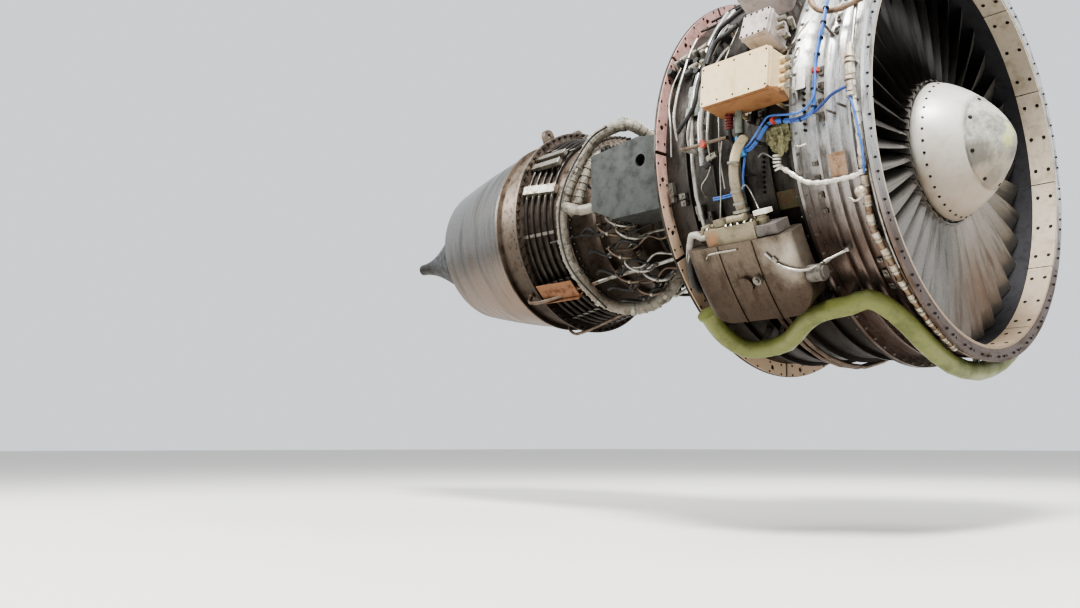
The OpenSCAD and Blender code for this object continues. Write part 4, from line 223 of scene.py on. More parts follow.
# Fan disk and the spools behind it
# Forged titanium and nickel steel, turned all over. They are dull grey inside, where no one
# polishes them, and browner towards the hot end.
disk_metal = weathered("turned_disk_metal", "#6e6d6b", "#565350", "#3c3733", metallic=0.85,
                       rough=0.42)
hot_metal = weathered("heat_stained_nickel_alloy", "#6f665c", "#574b40", "#33291f", metallic=0.8,
                      rough=0.48)
for node in ("fan_disk", "booster_drum", "booster_blades", "lp_shaft", "core_compressor_drum",
             "core_compressor_blades", "radial_drive_shaft", "shaft_bearings", "booster_vanes",
             "core_compressor_vanes"):
    dress(node, disk_metal)
for node in ("core_turbine_disk", "core_turbine_blades", "lp_turbine_rotor", "lp_turbine_blades",
             "lp_turbine_vanes", "core_turbine_vanes", "flame_tube"):
    dress(node, hot_metal)

# Spinner
# Two spun aluminium shells, painted a warm light grey. The paint is scuffed and sooty round the
# nose, with a greenish stain where primer shows, and it is darker and browner below: painted shade.
# Both shells darken towards the bottom as painted shade.
spinner_paint = weathered("scuffed_grey_spinner_paint", "#c2bfb7", "#aeaaa0", "#776e60",
                          metallic=0.15, rough=0.42, patch=160, cover=0.35, bump=0.05, speck=0.22,
                          belly=(-0.02, -0.30, "#a18c76"))
nose_paint = weathered("worn_spinner_nose_paint", "#b9b8af", "#8c8a81", "#524c43", metallic=0.15,
                       rough=0.45, patch=70, cover=0.8, bump=0.08, speck=0.55,
                       belly=(-0.02, -0.22, "#a08a72"))
stain_and_shade_patch(nose_paint, (0.130, -0.038, -0.018), 0.042, "#c6c98c", 0.75)
stain_and_shade_patch(nose_paint, (0.128, -0.020, 0.030), 0.040, "#c6c98c", 0.6)
stain_and_shade_patch(nose_paint, (0.05, -0.13, -0.07), 0.08, "#6f6c66", 0.75)
stain_and_shade_patch(nose_paint, (0.045, -0.03, -0.15), 0.07, "#7d776c", 0.6)
dress("spinner_rear_cone", spinner_paint, smooth=50)
dress("spinner_nose", nose_paint, smooth=50)

# Spinner bolts
# Countersunk steel bolts, blackened and dull with dirt: a ring of small ones near the base and a
# ring of larger ones in the seam of the nose.


def settle(name, shape, material, body="engine"):
    """Turns a finished bmesh into a piece of one material that rides on a body."""
    mesh = bpy.data.meshes.new(name)
    shape.to_mesh(mesh)
    shape.free()
    mesh.materials.append(material)
    piece = put_in_scene(name, mesh)
    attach(piece, body)
    return piece


def add_barrel(shape, middle, along, bottom_r, top_r, length, sides):
    """Adds a closed barrel to a bmesh, with its middle at a point, along a direction, in metres."""
    turn = Vector(along).to_track_quat("Z", "Y").to_matrix().to_4x4()
    barrel = bmesh.ops.create_cone(shape, cap_ends=True, segments=sides, radius1=bottom_r,
                                   radius2=top_r, depth=length)
    bmesh.ops.transform(shape, matrix=Matrix.Translation(Vector(middle)) @ turn,
                        verts=barrel["verts"])


def bolt_heads(name, places, width, height, material, body="engine", sides=6):
    """A group of bolt heads, each at (point, outward direction), as one piece, all in metres."""
    shape = bmesh.new()
    for point, outward in places:
        add_barrel(shape, point, outward, width / 2, width * 0.42, height, sides)
    return settle(name, shape, material, body)


def clock_point(station, clock, radius):
    """The point at a station aft and a radius in metres, and a clock angle in degrees."""
    a = math.radians(clock)
    return Vector((-station, -radius * math.sin(a), radius * math.cos(a)))


def outward_at(clock, forward=0.0):
    """The direction away from the engine's axis at a clock angle, leaning forwards by a share."""
    return (clock_point(0, clock, 1) + Vector((forward, 0, 0))).normalized()


spinner_base_r = 0.273
spinner_length = 0.261
spinner_base_station = 0.118
spinner_side = 1.4
spinner_blunt = 1.5


def spinner_place(ahead, clock):
    """A point on the spinner's skin, so many metres ahead of its base, and its way outwards.

    The skin is a cone with swollen sides and a blunt tip, as its solids are.
    """
    step = 0.001
    skin = [spinner_base_r * (1 - (a / spinner_length) ** spinner_side) ** (1 / spinner_blunt)
            for a in (ahead - step, ahead, ahead + step)]
    lean = (skin[0] - skin[2]) / (2 * step)
    return clock_point(spinner_base_station - ahead, clock, skin[1]), outward_at(clock, lean)


# Steel with a blackened, oily skin that hardly shines.
dark_bolt = weathered("blackened_steel_bolt", "#3a3734", "#2c2927", "#1d1b19", metallic=0.7,
                      rough=0.5, bump=0)
base_bolt_count = 36
seam_bolt_count = 8
bolt_heads("spinner_base_bolts",
           [spinner_place(0.033, 4 + i * 360 / base_bolt_count) for i in range(base_bolt_count)],
           width=0.0115, height=0.003, material=dark_bolt, body="lp_spool", sides=10)
bolt_heads("spinner_seam_bolts",
           [spinner_place(0.165, 23 + i * 360 / seam_bolt_count) for i in range(seam_bolt_count)],
           width=0.0165, height=0.004, material=dark_bolt, body="lp_spool", sides=10)

# Fan case
# A welded and machined aluminium barrel with ribs turned on it. The front part is bright and
# streaked by rain, the frame behind it darker and oily, and the duct inside a dusty grey. Case and
# frame both darken low down with painted shade.

# Turned metal shines in streaks that run round the case, and it turns darker and browner low
# down: painted shade.
case_aluminium = weathered("streaked_case_aluminium", "#dcdcda", "#8e8983", "#4a4038",
                           metallic=0.75, rough=0.30, patch=30, grain=(1, 0.16, 1), cover=0.55,
                           bump=0.1, speck=0.45, belly=(-0.06, -0.44, "#583f30"), turned=True)
# The frame turns nearly black low down: painted shade.
frame_aluminium = weathered("oily_frame_aluminium_painted_shade", "#5b5752", "#3d3934", "#231f1b", metallic=0.65,
                            rough=0.40, patch=45, grain=(1, 0.3, 1), cover=0.6, bump=0.15,
                            speck=0.5, belly=(-0.16, -0.60, "#2c231c"), turned=True)
duct_metal = weathered("dusty_duct_metal", "#74726e", "#55514c", "#34302b", metallic=0.6, rough=0.5,
                       cover=0.5)
dress("fan_inlet_case", case_aluminium)
dress("fan_frame_case", frame_aluminium)
for node in ("fan_frame_struts", "fan_frame_hub", "outlet_guide_vanes", "booster_case"):
    dress(node, duct_metal)

# Inlet flange bolts
# Small dark bolts all round the front flange, between the larger ones that hold the cowl, and dull
# steel ones from both sides of the joint between the case and the frame.
flange_bolt_count = 108
flange_bolt_r = 0.8055
bolt_heads("inlet_flange_bolts",
           [(clock_point(-0.002, 1.5 + i * 360 / flange_bolt_count, flange_bolt_r), (1, 0, 0))
            for i in range(flange_bolt_count) if i % 3],
           width=0.010, height=0.006, material=dark_bolt)
# Bare steel gone dull, lighter than the blackened bolts.
steel_bolt = weathered("dull_steel_bolt", "#8b8880", "#6b665d", "#3f3a34", metallic=0.8, rough=0.45,
                       bump=0)
bolt_heads("frame_flange_bolts",
           [(clock_point(station, i * 5, 0.820), (way, 0, 0)) for i in range(72)
            for station, way in ((0.265, 1), (0.296, -1))],
           width=0.012, height=0.009, material=steel_bolt)

# Sound-absorbing lip panels and the shroud
# Bonded composite with a perforated skin, painted cream that has gone tan. Dark countersunk
# fasteners hold it in pairs. The shroud behind it is a dark rubbing strip.

# Chalky paint with no gloss, darker where water stands at the bottom.
panel_skin = weathered("aged_cream_panel_skin", "#b9ae9e", "#a39683", "#63584a", metallic=0.0,
                       rough=0.55, patch=80, cover=0.5, bump=0.1, speck=0.35,
                       belly=(-0.2, -0.75, "#8f7c66"))
shroud_skin = weathered("dark_rub_strip", "#38373a", "#2b2a2b", "#1d1b1a", metallic=0.1, rough=0.6,
                        patch=50)
dress("acoustic_panels", panel_skin)
dress("tip_shroud", shroud_skin)
panel_bolt_r = 0.7655
bolt_heads("lip_panel_fasteners",
           [(clock_point(station, seam + row, panel_bolt_r), -outward_at(seam + row))
            for seam in range(0, 360, 30) for row in (4.5, 15, 25.5)
            for station in (0.022, 0.074)],
           width=0.0165, height=0.003, material=dark_bolt, sides=10)

# Rear rim panels
# Thin sheet panels inside the frame's rear rim, held by two rings of dark bolts. Their pinkish red
# primer has faded and turned sandy below.
primer_red = weathered("faded_red_primer", "#b5938b", "#99796f", "#52443f", metallic=0.0, rough=0.6,
                       patch=70, cover=0.6, speck=0.5, belly=(0.05, -0.35, "#b8a48c"))
dress("rear_rim_panels", primer_red)
bolt_heads("rear_rim_bolts",
           [(clock_point(0.8755, 3 + i * 6, radius), (1, 0, 0)) for i in range(60)
            for radius in (0.788, 0.828)], width=0.010, height=0.003, material=dark_bolt)

# Control and ignition boxes
# Folded and riveted sheet boxes on posts. The large one has cream enamel, with a tan painted shade
# and warm painted reflection on its lower side, and the two above it a mauve grey one, all chalky
# and worn in patches.

# Stoved enamel that has lost most of its gloss: cream and mauve grey. The tan is painted shade
# and a painted warm reflection.
cream_enamel = weathered("chalky_cream_enamel", "#cfba96", "#b9a17b", "#7d694d", metallic=0.0,
                         rough=0.45, patch=100, grain=(1, 1, 0.3), cover=0.4, bump=0.05, speck=0.3)
mauve_enamel = weathered("dusty_mauve_grey_enamel", "#b3a9a4", "#958a84", "#5f5650", metallic=0.05,
                         rough=0.5, patch=80, cover=0.5, bump=0.05, speck=0.4)
underside_painted_shade_tan = weathered("painted_shade_tan_enamel", "#96704f", "#7f5b40", "#553d2b", metallic=0.0,
                       rough=0.5, patch=100, cover=0.5, bump=0.05)
# The tan zone on the large box's lower side is painted shade and reflection.
dress("control_box", cream_enamel, bevel=0.002,
      zones=[((240, 86.4, 870), (540, 95, 1010), underside_painted_shade_tan)])
dress("ignition_boxes", mauve_enamel, bevel=0.002)


def box_point(clock, station, across, radius):
    """A point on a flat box at a clock angle: mm aft, mm across it and mm out from the axis."""
    a = math.radians(clock)
    return Vector((-station, across * math.cos(a) - radius * math.sin(a),
                   across * math.sin(a) + radius * math.cos(a))) / 1000


# Screws round the edge of each lid: its clock angle, front, rear, half width and height.
box_screws = []
screw_margin = 8
for clock, front, rear, half, top in ((83, 250, 530, 64, 999.4), (70, 296, 408, 46, 968.5),
                                      (57, 304, 476, 52, 974.5)):
    for k in range(5):
        station = front + screw_margin + k * (rear - front - 2 * screw_margin) / 4
        for across in (-half, half):
            box_screws.append((box_point(clock, station, across, top), outward_at(clock)))
    for station in (front + screw_margin, rear - screw_margin):
        box_screws.append((box_point(clock, station, 0, top), outward_at(clock)))
bolt_heads("box_lid_screws", box_screws, width=0.0085, height=0.003, material=dark_bolt, sides=8)
# Nickel plate on round plugs and clamps, dulled to a warm grey with a soft shine.
plug_steel = weathered("dulled_plug_nickel", "#a09c91", "#7b756a", "#474138", metallic=0.8,
                       rough=0.42, patch=30)
plugs = []
for clock, station, offsets, radius in ((83, 224, (-50, -17, 17, 50), 923),
                                        (70, 270, (-17, 17), 928), (57, 276, (-34, 0, 34), 932)):
    for across in offsets:
        plugs.append((box_point(clock, station, across, radius), (1, 0, 0)))
bolt_heads("box_plugs", plugs, width=0.021, height=0.030, material=plug_steel, sides=16)

# Oil tank, filler head and cap
# A welded sheet tank with round edges, in bare metal browned by oil and heat. The cast head on it
# is khaki, and the cap a lighter alloy.

# Oil and heat leave a brown, half glossy skin, pale where it is rubbed. It turns nearly black low
# down and at its lower rear: painted shade.
tank_metal = weathered("oil_browned_tank_metal_painted_shade", "#82776a", "#53483d", "#251d17", metallic=0.7,
                       rough=0.32, patch=50, grain=(1, 0.7, 0.28), cover=0.6, bump=0.12, speck=0.6,
                       belly=(-0.36, -0.68, "#38291f"))
stain_and_shade_patch(tank_metal, (-0.29, -0.84, -0.50), 0.15, "#c2baad", 0.65, core=0.5)
# A dark patch low at the tank's rear end is painted shade.
stain_and_shade_patch(tank_metal, (-0.68, -0.80, -0.55), 0.16, "#35281f", 0.8, core=0.5)
stain_and_shade_patch(tank_metal, (-0.47, -0.86, -0.46), 0.12, "#7a6f62", 0.5, core=0.4)
khaki_casting = weathered("khaki_head_casting", "#958c77", "#786f5a", "#463f30", metallic=0.3,
                          rough=0.5, patch=50, cover=0.5)
stain_and_shade_patch(khaki_casting, (-0.58, -0.90, -0.41), 0.055, "#a5714f", 0.6)
dress("oil_tank", tank_metal)
dress("oil_tank_head", khaki_casting, bevel=0.003)
dress("oil_filler_cap", khaki_casting, bevel=0.001)

# Gearboxes and what they drive
# Sand-cast magnesium and aluminium housings with a grey sealing paint, and accessories in their
# own greys. All stand on the engine's left side, away from the photograph's view.

# Sand-cast metal is grainy and matt under its paint.
cast_housing = weathered("sealed_grey_casting", "#8d908f", "#6f706d", "#45413b", metallic=0.4,
                         rough=0.52, patch=50, cover=0.5, bump=0.3)
black_housing = weathered("dark_accessory_paint", "#4d4e4e", "#3d3c3a", "#262422", metallic=0.2,
                          rough=0.5)
for node in ("accessory_gearbox", "transfer_gearbox", "starter", "hydraulic_pump", "fuel_pump",
             "fuel_control_lever"):
    dress(node, cast_housing)
dress("generator", black_housing)

# Air duct to the starter
# Glass cloth wound over a thin metal tube and sealed with a yellowish green resin, which shines a
# little. Stained steel brackets hold it under the case.
resin_wrap = weathered("yellow_green_resin_wrap", "#797d4c", "#63683d", "#3a3a26", metallic=0.0,
                       rough=0.36, patch=100, cover=0.5, bump=0.1)
bracket_steel = weathered("stained_bracket_steel", "#86817a", "#655f56", "#3a342d", metallic=0.75,
                          rough=0.45, patch=30)
dress("air_duct", resin_wrap, smooth=60,
      zones=[((150, 130, 700), (900, 155, 836), bracket_steel),
             ((60, 180, 700), (120, 192, 818), bracket_steel)])

# Pipes and harness on the fan case
# Stainless tubes gone dull, a rubber hose from the tank's head, the filler's beige sleeve, and
# wires in a blue braided cover that red clamps and black ties hold to the case.

# Stainless tubes still shine softly, and less so where oil has browned them. Rubber and silicone
# are matt and dusty, and the braid is cloth, blue where it is clean.
dull_tube = weathered("dull_stainless_tube", "#b0ada6", "#847d72", "#463e34", metallic=0.7,
                      rough=0.36, patch=40)
oily_tube = weathered("oil_browned_tube", "#77685a", "#57483b", "#30271f", metallic=0.5, rough=0.42,
                      patch=50)
grey_rubber = weathered("weathered_grey_rubber", "#a9a49a", "#857f74", "#4f4940", metallic=0.1,
                        rough=0.5, patch=40)
black_rubber = weathered("oily_black_rubber", "#35322f", "#4a443d", "#221f1c", metallic=0.0,
                         rough=0.4, patch=40)
cream_sleeve = weathered("cream_silicone_sleeve", "#c5b997", "#ab9f7f", "#6f644d", metallic=0.0,
                         rough=0.5, patch=30)
beige_sleeve = weathered("beige_silicone_sleeve", "#968b78", "#7b705e", "#4f463a", metallic=0.0,
                         rough=0.5, patch=30)
blue_braid = weathered("blue_braided_cover", "#557cc0", "#40629e", "#2b3957", metallic=0.0,
                       rough=0.5, patch=30)
dress("case_pipes", dull_tube, smooth=70,
      zones=[((400, 93, 864), (500, 99.6, 950), cream_sleeve),
             ((400, 99.6, 864), (500, 113, 950), beige_sleeve),
             ((611, 110, 800), (860, 118, 960), grey_rubber),
             ((611, 118, 800), (860, 131, 960), black_rubber),
             ((495, 92, 880), (710, 94, 920), oily_tube),
             ((0, 134, 780), (760, 235, 900), oily_tube)])


def smooth_path(points, steps=6):
    """Points in metres on a smooth curve through (station, clock, radius) places in mm."""
    route = [clock_point(s / 1000, c, r / 1000) for s, c, r in points]
    ends = [route[0]] + route + [route[-1]]
    path = []
    for i in range(len(route) - 1):
        a, b, c, d = ends[i : i + 4]
        for k in range(steps):
            t = k / steps
            path.append(0.5 * (2 * b + (c - a) * t + (2 * a - 5 * b + 4 * c - d) * t * t
                               + (3 * b - a - 3 * c + d) * t ** 3))
    return path + [route[-1]]


def lines(name, routes, width, material):
    """Round lines of one width in mm along several routes, as one swept curve."""
    curve = bpy.data.curves.new(name, "CURVE")
    curve.dimensions = "3D"
    curve.bevel_depth = width / 2000
    curve.bevel_resolution = 2
    curve.use_fill_caps = True
    for points in routes:
        path = smooth_path(points)
        line = curve.splines.new("POLY")
        line.points.add(len(path) - 1)
        for spot, place in zip(line.points, path):
            spot.co = (*place, 1)
    curve.materials.append(material)
    piece = put_in_scene(name, curve)
    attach(piece, "engine")
    return piece


def collars(name, routes, width, pitch, length, material, start=0):
    """Short collars set at a pitch along several routes, all in mm, as one piece.

    start is how far along its route the first one stands.
    """
    shape = bmesh.new()
    for points in routes:
        path = smooth_path(points, 40)
        gone = pitch - start
        for before, here in zip(path, path[1:]):
            gone += (here - before).length * 1000
            if gone < pitch:
                continue
            gone = 0
            add_barrel(shape, here, here - before, width / 2000, width / 2000, length / 1000, 14)
    return settle(name, shape, material)


def rods(name, spans, material):
    """Straight round bars and barrels, as one piece.

    Each goes from one (station, clock, radius) to another and has a width, all in mm.
    """
    shape = bmesh.new()
    for start, end, width in spans:
        near, far = (clock_point(s / 1000, c, r / 1000) for s, c, r in (start, end))
        add_barrel(shape, (near + far) / 2, far - near, width / 2000, width / 2000,
                   (far - near).length, 18)
    return settle(name, shape, material)


def blocks(name, places, material):
    """Small brackets and plates with eased edges, as one piece.

    Each is the (station, clock, radius) of its middle, then its length along the engine, its width
    round it and its height, all in mm.
    """
    shape = bmesh.new()
    for station, clock, radius, along, across, high in places:
        cube = bmesh.ops.create_cube(shape, size=0.001)
        bmesh.ops.scale(shape, vec=(along, across, high), verts=cube["verts"])
        stand = Matrix.Rotation(math.radians(clock), 4, "X")
        stand = Matrix.Translation(clock_point(station / 1000, clock, radius / 1000)) @ stand
        bmesh.ops.transform(shape, matrix=stand, verts=cube["verts"])
    bmesh.ops.bevel(shape, geom=shape.edges[:], offset=0.0008, offset_type="OFFSET", segments=1,
                    affect="EDGES", profile=0.5, material=-1)
    return settle(name, shape, material)


harness_route = [(226, 40, 866), (190, 52, 862), (158, 62, 856), (150, 70, 854), (160, 78, 852),
                 (168, 86, 852), (170, 91, 854), (205, 92.6, 858), (252, 92.6, 866),
                 (322, 91.8, 870), (352, 93.0, 874), (382, 95.2, 878), (412, 96.6, 880),
                 (436, 96.8, 878)]
low_harness = [(446, 98.2, 870), (465, 100.1, 856), (484, 102.4, 842), (500, 105, 832),
               (560, 106, 828), (640, 106, 826)]
top_harness = [(226, 43, 852), (224, 30, 846), (224, 10, 842), (224, -10, 842), (224, -30, 842),
               (224, -50, 848)]
# Four wires wind round one another, and then two lie side by side at either end.
wires = []
wire_twist = 0.5
for k in range(4):
    turn = math.radians(90 * k + 20)
    wires.append([(s, c + 0.32 * math.cos(turn + wire_twist * i),
                   r + 5 * math.sin(turn + wire_twist * i))
                  for i, (s, c, r) in enumerate(harness_route)])
for k in range(2):
    wires.append([(s, c + 0.25 * (-1) ** k, r) for s, c, r in low_harness])
    wires.append([(s + 4 * (-1) ** k, c, r) for s, c, r in top_harness])
harness = lines("blue_harness_wires", wires, width=7.5, material=blue_braid)
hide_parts("wiring_harness")
rods("harness_posts", [((s, c, 780), (s, c, r), 9) for s, c, r in (
    (212, 44.7, 864), (150, 70, 852), (170, 86, 850), (180, 91.6, 851), (331, 92, 866),
    (480, 102, 842), (620, 106, 826), (92, 91, 836), (130, 92, 840), (224, 10, 840),
    (224, -30, 840))], bracket_steel)
lines("blue_wires", [
    [(150, 72, 866), (158, 80, 864), (160, 88, 864), (200, 91.2, 872), (250, 91.4, 880),
     (322, 90.6, 884), (352, 91.9, 886), (384, 94.2, 888), (414, 95.8, 888), (436, 96.2, 884)],
    [(62, 88.2, 826), (42, 92.4, 826), (32, 97.7, 826), (28, 101.2, 826), (29, 104.3, 826),
     (38, 107.9, 824)]], width=8, material=blue_braid)
# Oil has turned this braid navy, while the rubber boot on the plug is still a clean sky blue.
lines("dark_blue_branch", [
    [(60, 87.6, 834), (79, 88.1, 840), (110, 88.8, 842), (140, 90.4, 846), (170, 91.8, 852),
     (204, 92.4, 862), (250, 92.9, 874)]], width=11,
      material=weathered("faded_navy_braid", "#3d4f86", "#31406c", "#252c42", metallic=0.0,
                         rough=0.55, patch=30))
lines("blue_plug_sleeve", [[(458, 93.4, 882), (452, 95.4, 884), (447, 97.9, 876)]], width=27,
      material=weathered("sky_blue_rubber_boot", "#5aa0dc", "#4884bd", "#3a5f86", metallic=0.0,
                         rough=0.45, patch=30))
# Moulded red rubber, faded and greasy.
red_rubber = weathered("red_clamp_cushion", "#b8503f", "#93392d", "#5a2a22", metallic=0.0,
                       rough=0.5, patch=20)
collars("red_harness_clamps",
        [[(316, 91.6, 872), (328, 91.9, 871)], [(163, 82, 851), (165, 84, 851)],
         [(600, 93, 900), (606, 93, 900)]], width=27, pitch=400, length=13, material=red_rubber)
collars("black_harness_ties", [harness_route], width=21, pitch=62, length=5, material=dark_bolt)

# Ringed conduits at the inlet flange
# Wires in jointed metal conduits, cream and tan with dust, with a large coupling where they meet.
# They follow the pipes clipped behind the flange.

# Metal under a coat of dust: cream where it is dry, tan to brown where oil has run.
cream_conduit = weathered("dusty_cream_conduit", "#d9d4ca", "#b8b0a2", "#6f6453", metallic=0.3,
                          rough=0.42, patch=30)
tan_conduit = weathered("tan_stained_conduit", "#8f7a66", "#6b5646", "#3f2f22", metallic=0.4,
                        rough=0.45, patch=30)
stained_conduit = weathered("stained_cream_conduit", "#c6bcae", "#97836f", "#574332", metallic=0.35,
                            rough=0.4, patch=25, cover=0.65, speck=0.6)
flange_route = [(62, 62, 822), (56, 70, 816), (52, 80, 816), (46, 90, 814), (38, 97, 812),
                (42, 105, 812), (60, 118, 814), (60, 123, 814), (48, 129, 812), (42, 137, 812),
                (34, 150, 812), (40, 165, 812)]
lines("flange_conduit", [flange_route[2:6]], width=20, material=cream_conduit)
collars("flange_conduit_rings", [flange_route[2:6]],
        width=24, pitch=44, length=20, material=cream_conduit)
lines("lower_conduit", [flange_route[5:]], width=21, material=tan_conduit)
collars("lower_conduit_sleeves", [flange_route[5:]],
        width=26, pitch=62, length=36, material=stained_conduit)
collars("lower_conduit_joints", [flange_route[5:]],
        width=23, pitch=62, length=22, material=tan_conduit, start=31)
collars("lower_conduit_clamps", [flange_route[5:]],
        width=31, pitch=62, length=6, material=plug_steel, start=14)
rods("flange_couplings", [
    ((57, 79.0, 819), (56.5, 80.2, 819), 38), ((56.3, 80.6, 819), (56, 81.4, 819), 34),
    ((56, 81.8, 819), (55, 84.6, 819), 28), ((55, 85.0, 819), (54.5, 85.8, 819), 35),
    ((54, 86.2, 819), (52, 88.6, 819), 28), ((52, 88.9, 818), (51.5, 89.7, 818), 33),
    ((57, 76.5, 819), (57, 78.8, 819), 26)], stained_conduit)
rods("flange_clips", [((s, c, 790), (s, c, r), width) for s, c, r, width in (
    (46, 90.2, 826, 11), (34, 99.0, 824, 11), (60, 121.0, 828, 12), (36, 146.0, 826, 12))],
     bracket_steel)
sleeve_route = [(330, 102, 840), (291, 104, 847), (240, 107, 840), (167, 108, 830), (76, 108, 828),
                (46, 107.4, 818)]
lines("cream_conduit", [sleeve_route], width=15, material=cream_conduit)
collars("cream_conduit_rings", [sleeve_route],
        width=19, pitch=31, length=14, material=cream_conduit)
lines("top_conduit", [[(225, 61, 864), (199, 63.8, 852), (160, 65.2, 842), (99, 65.6, 836),
                       (30, 64.6, 834)]], width=19, material=tan_conduit)
lines("conduit_branches", [[(64, 113, 822), (86, 113.6, 832), (104, 112.6, 826), (120, 113.4, 806)],
                           [(276, 97.2, 806), (262, 98.2, 818), (238, 97.9, 806)]],
      width=7, material=cream_conduit)
joint_knob = bmesh.new()
ball = bmesh.ops.create_icosphere(joint_knob, subdivisions=3, radius=0.021)
bmesh.ops.translate(joint_knob, vec=clock_point(0.064, 111.8, 0.820), verts=ball["verts"])
settle("conduit_joint_knob", joint_knob, stained_conduit)

# Sleeves, boots and small lines behind the control box
# Rubber and cloth covers over plugs, and the filler's clamps. The olive boot is a cloth bag that
# has sagged into folds.

# Rubberised black cloth, worn to a dusty dark grey.
worn_black = weathered("worn_black_cover", "#3b3a39", "#2c2b2a", "#1c1b19", metallic=0.0, rough=0.5,
                       patch=40)
lines("box_drop_cables", [[(479, 87.4, 900), (483, 89.4, 898), (486, 92.5, 890), (478, 95.5, 884)],
                          [(439, 87.2, 900), (442, 90.2, 896), (449, 93.3, 888), (456, 96.5, 884)]],
      width=16, material=worn_black)
# Moulded rubber sleeves over the control box's plugs, dark red and grey green.
collars("red_ribbed_sleeve", [[(479, 87.4, 900), (483, 89.4, 898), (485, 91.4, 892)]],
        width=29, pitch=9, length=6.5,
        material=weathered("dark_red_ribbed_rubber", "#7d3b35", "#612c28", "#3b1d1a", metallic=0.0,
                           rough=0.5, patch=20))
lines("grey_green_sleeve", [[(439, 87.2, 900), (442, 90.0, 896), (448, 92.6, 889)]], width=27,
      material=weathered("grey_green_rubber", "#7f847a", "#686c62", "#42443c", metallic=0.0,
                         rough=0.5, patch=30))
rods("filler_clamps", [
    ((458, 99.3, 925), (459, 99.8, 926), 44), ((462, 105.4, 929), (462, 105.9, 929), 44),
    ((462, 108.0, 925), (462, 108.6, 925), 47), ((464, 109.7, 922), (464, 110.3, 922), 62),
    ((464, 110.8, 922), (464, 111.9, 922), 54)], plug_steel)
rods("head_fittings", [
    ((512, 111.3, 945), (436, 111.3, 945), 28), ((500, 111.9, 900), (440, 111.9, 900), 20),
    ((386, 111.7, 925), (386, 113.6, 925), 36), ((386, 112.2, 925), (386, 112.7, 925), 46),
    ((612, 112.9, 925), (612, 111.4, 925), 12), ((612, 111.7, 925), (640, 112.1, 925), 12),
    ((640, 111.9, 925), (652, 113.6, 926), 15), ((608, 112.4, 898), (634, 112.4, 898), 22),
    ((628, 112.4, 898), (628, 114.6, 898), 14)], khaki_casting)
# A dark cast box, and a valve in glossy white enamel that has yellowed.
blocks("head_front_box", [(356, 114.7, 925, 84, 38, 84)],
       weathered("dark_grey_casting", "#77726d", "#5c5650", "#36302a", metallic=0.4, rough=0.5,
                 patch=40))
blocks("white_valve", [(378, 111.0, 925, 54, 17, 42)],
       weathered("white_valve_enamel", "#e2ddd0", "#c4bba8", "#857a66", metallic=0.1, rough=0.45,
                 patch=30))
up_at_head = (0, 0.383, 0.924)
head_bolt_places = [(s, 957) for s in (412, 440, 468, 496, 518, 602)]
head_bolt_places += [(s, 874) for s in (412, 450, 490, 518, 602)]
bolt_heads("head_bolts",
           [(clock_point(s / 1000, 112.35, r / 1000), up_at_head) for s, r in head_bolt_places],
           width=0.013, height=0.012, material=steel_bolt)
lines("tank_rim",
      [[(640, 119.6, 972), (618, 118.0, 984), (590, 117.3, 989), (480, 117.3, 989)]],
      width=8, material=plug_steel)
rods("tank_plugs", [
    ((436, 124.3, 984), (436, 124.3, 1002), 34), ((436, 124.3, 1001), (436, 124.3, 1010), 18),
    ((282, 126.4, 926), (222, 126.4, 926), 62), ((226, 126.4, 926), (214, 126.4, 926), 44)],
     bracket_steel)
rods("line_fitting", [
    ((352, 120.2, 991), (340, 121.2, 991), 17), ((224, 124.9, 905), (216, 124.9, 885), 16)],
     plug_steel)
lines("thin_case_lines", [
    [(445, 108.4, 925), (461, 105.6, 900), (451, 104.6, 884), (435, 106.4, 884), (417, 108.1, 900),
     (392, 110.2, 925)],
    [(516, 93.6, 900), (530, 99, 905), (543, 104.4, 905), (566, 111.2, 915)],
    [(407, 98.6, 846), (380, 98.1, 852), (348, 99.7, 850)],
    [(589, 94.2, 884), (612, 97.0, 846), (640, 99.8, 836), (683, 102.2, 826), (690, 105, 800)]],
      width=6, material=dull_tube)
# Oiled cloth, matt olive, with darker and nearly black patches of painted fold shade laid at random.
olive_cloth_and_fold_shade = weathered("olive_cloth_boot", "#8e8a6b", "#4f4b32", "#24210f", metallic=0.0,
                        rough=0.6, patch=22, cover=0.6, bump=0.3, speck=0.5)
boot = bmesh.new()
bag = bmesh.ops.create_icosphere(boot, subdivisions=5, radius=1.0)
bag_half_size = (0.046, 0.032, 0.050)
fold_pattern = Vector((2.0, 3.0, 1.3))
fold_shift = Vector((0.4, 0.7, 0.2))
# Broad dents, then deep folds, then fine creases. The bag narrows towards its foot.
for vert in bag["verts"]:
    fold = noise.noise(vert.co * 1.6)
    fold -= 1.7 * abs(noise.noise(vert.co * fold_pattern + fold_shift))
    fold -= 0.5 * abs(noise.noise(vert.co * 4.5))
    narrow = 1 - 0.45 * max(0.0, -vert.co.z)
    vert.co = Vector((vert.co.x * narrow, vert.co.y * narrow, vert.co.z)) * (1.18 + 0.45 * fold)
bmesh.ops.scale(boot, vec=bag_half_size, verts=bag["verts"])
bmesh.ops.rotate(boot, cent=(0, 0, 0), matrix=Matrix.Rotation(math.radians(6), 3, "X"),
                 verts=bag["verts"])
bmesh.ops.translate(boot, vec=clock_point(0.314, 95.6, 0.842), verts=bag["verts"])
settle("olive_boot", boot, olive_cloth_and_fold_shade)
collars("boot_neck_rings", [[(332, 99.4, 846), (336, 101.6, 846), (333, 102.8, 843)]],
        width=30, pitch=11, length=7, material=cream_conduit)

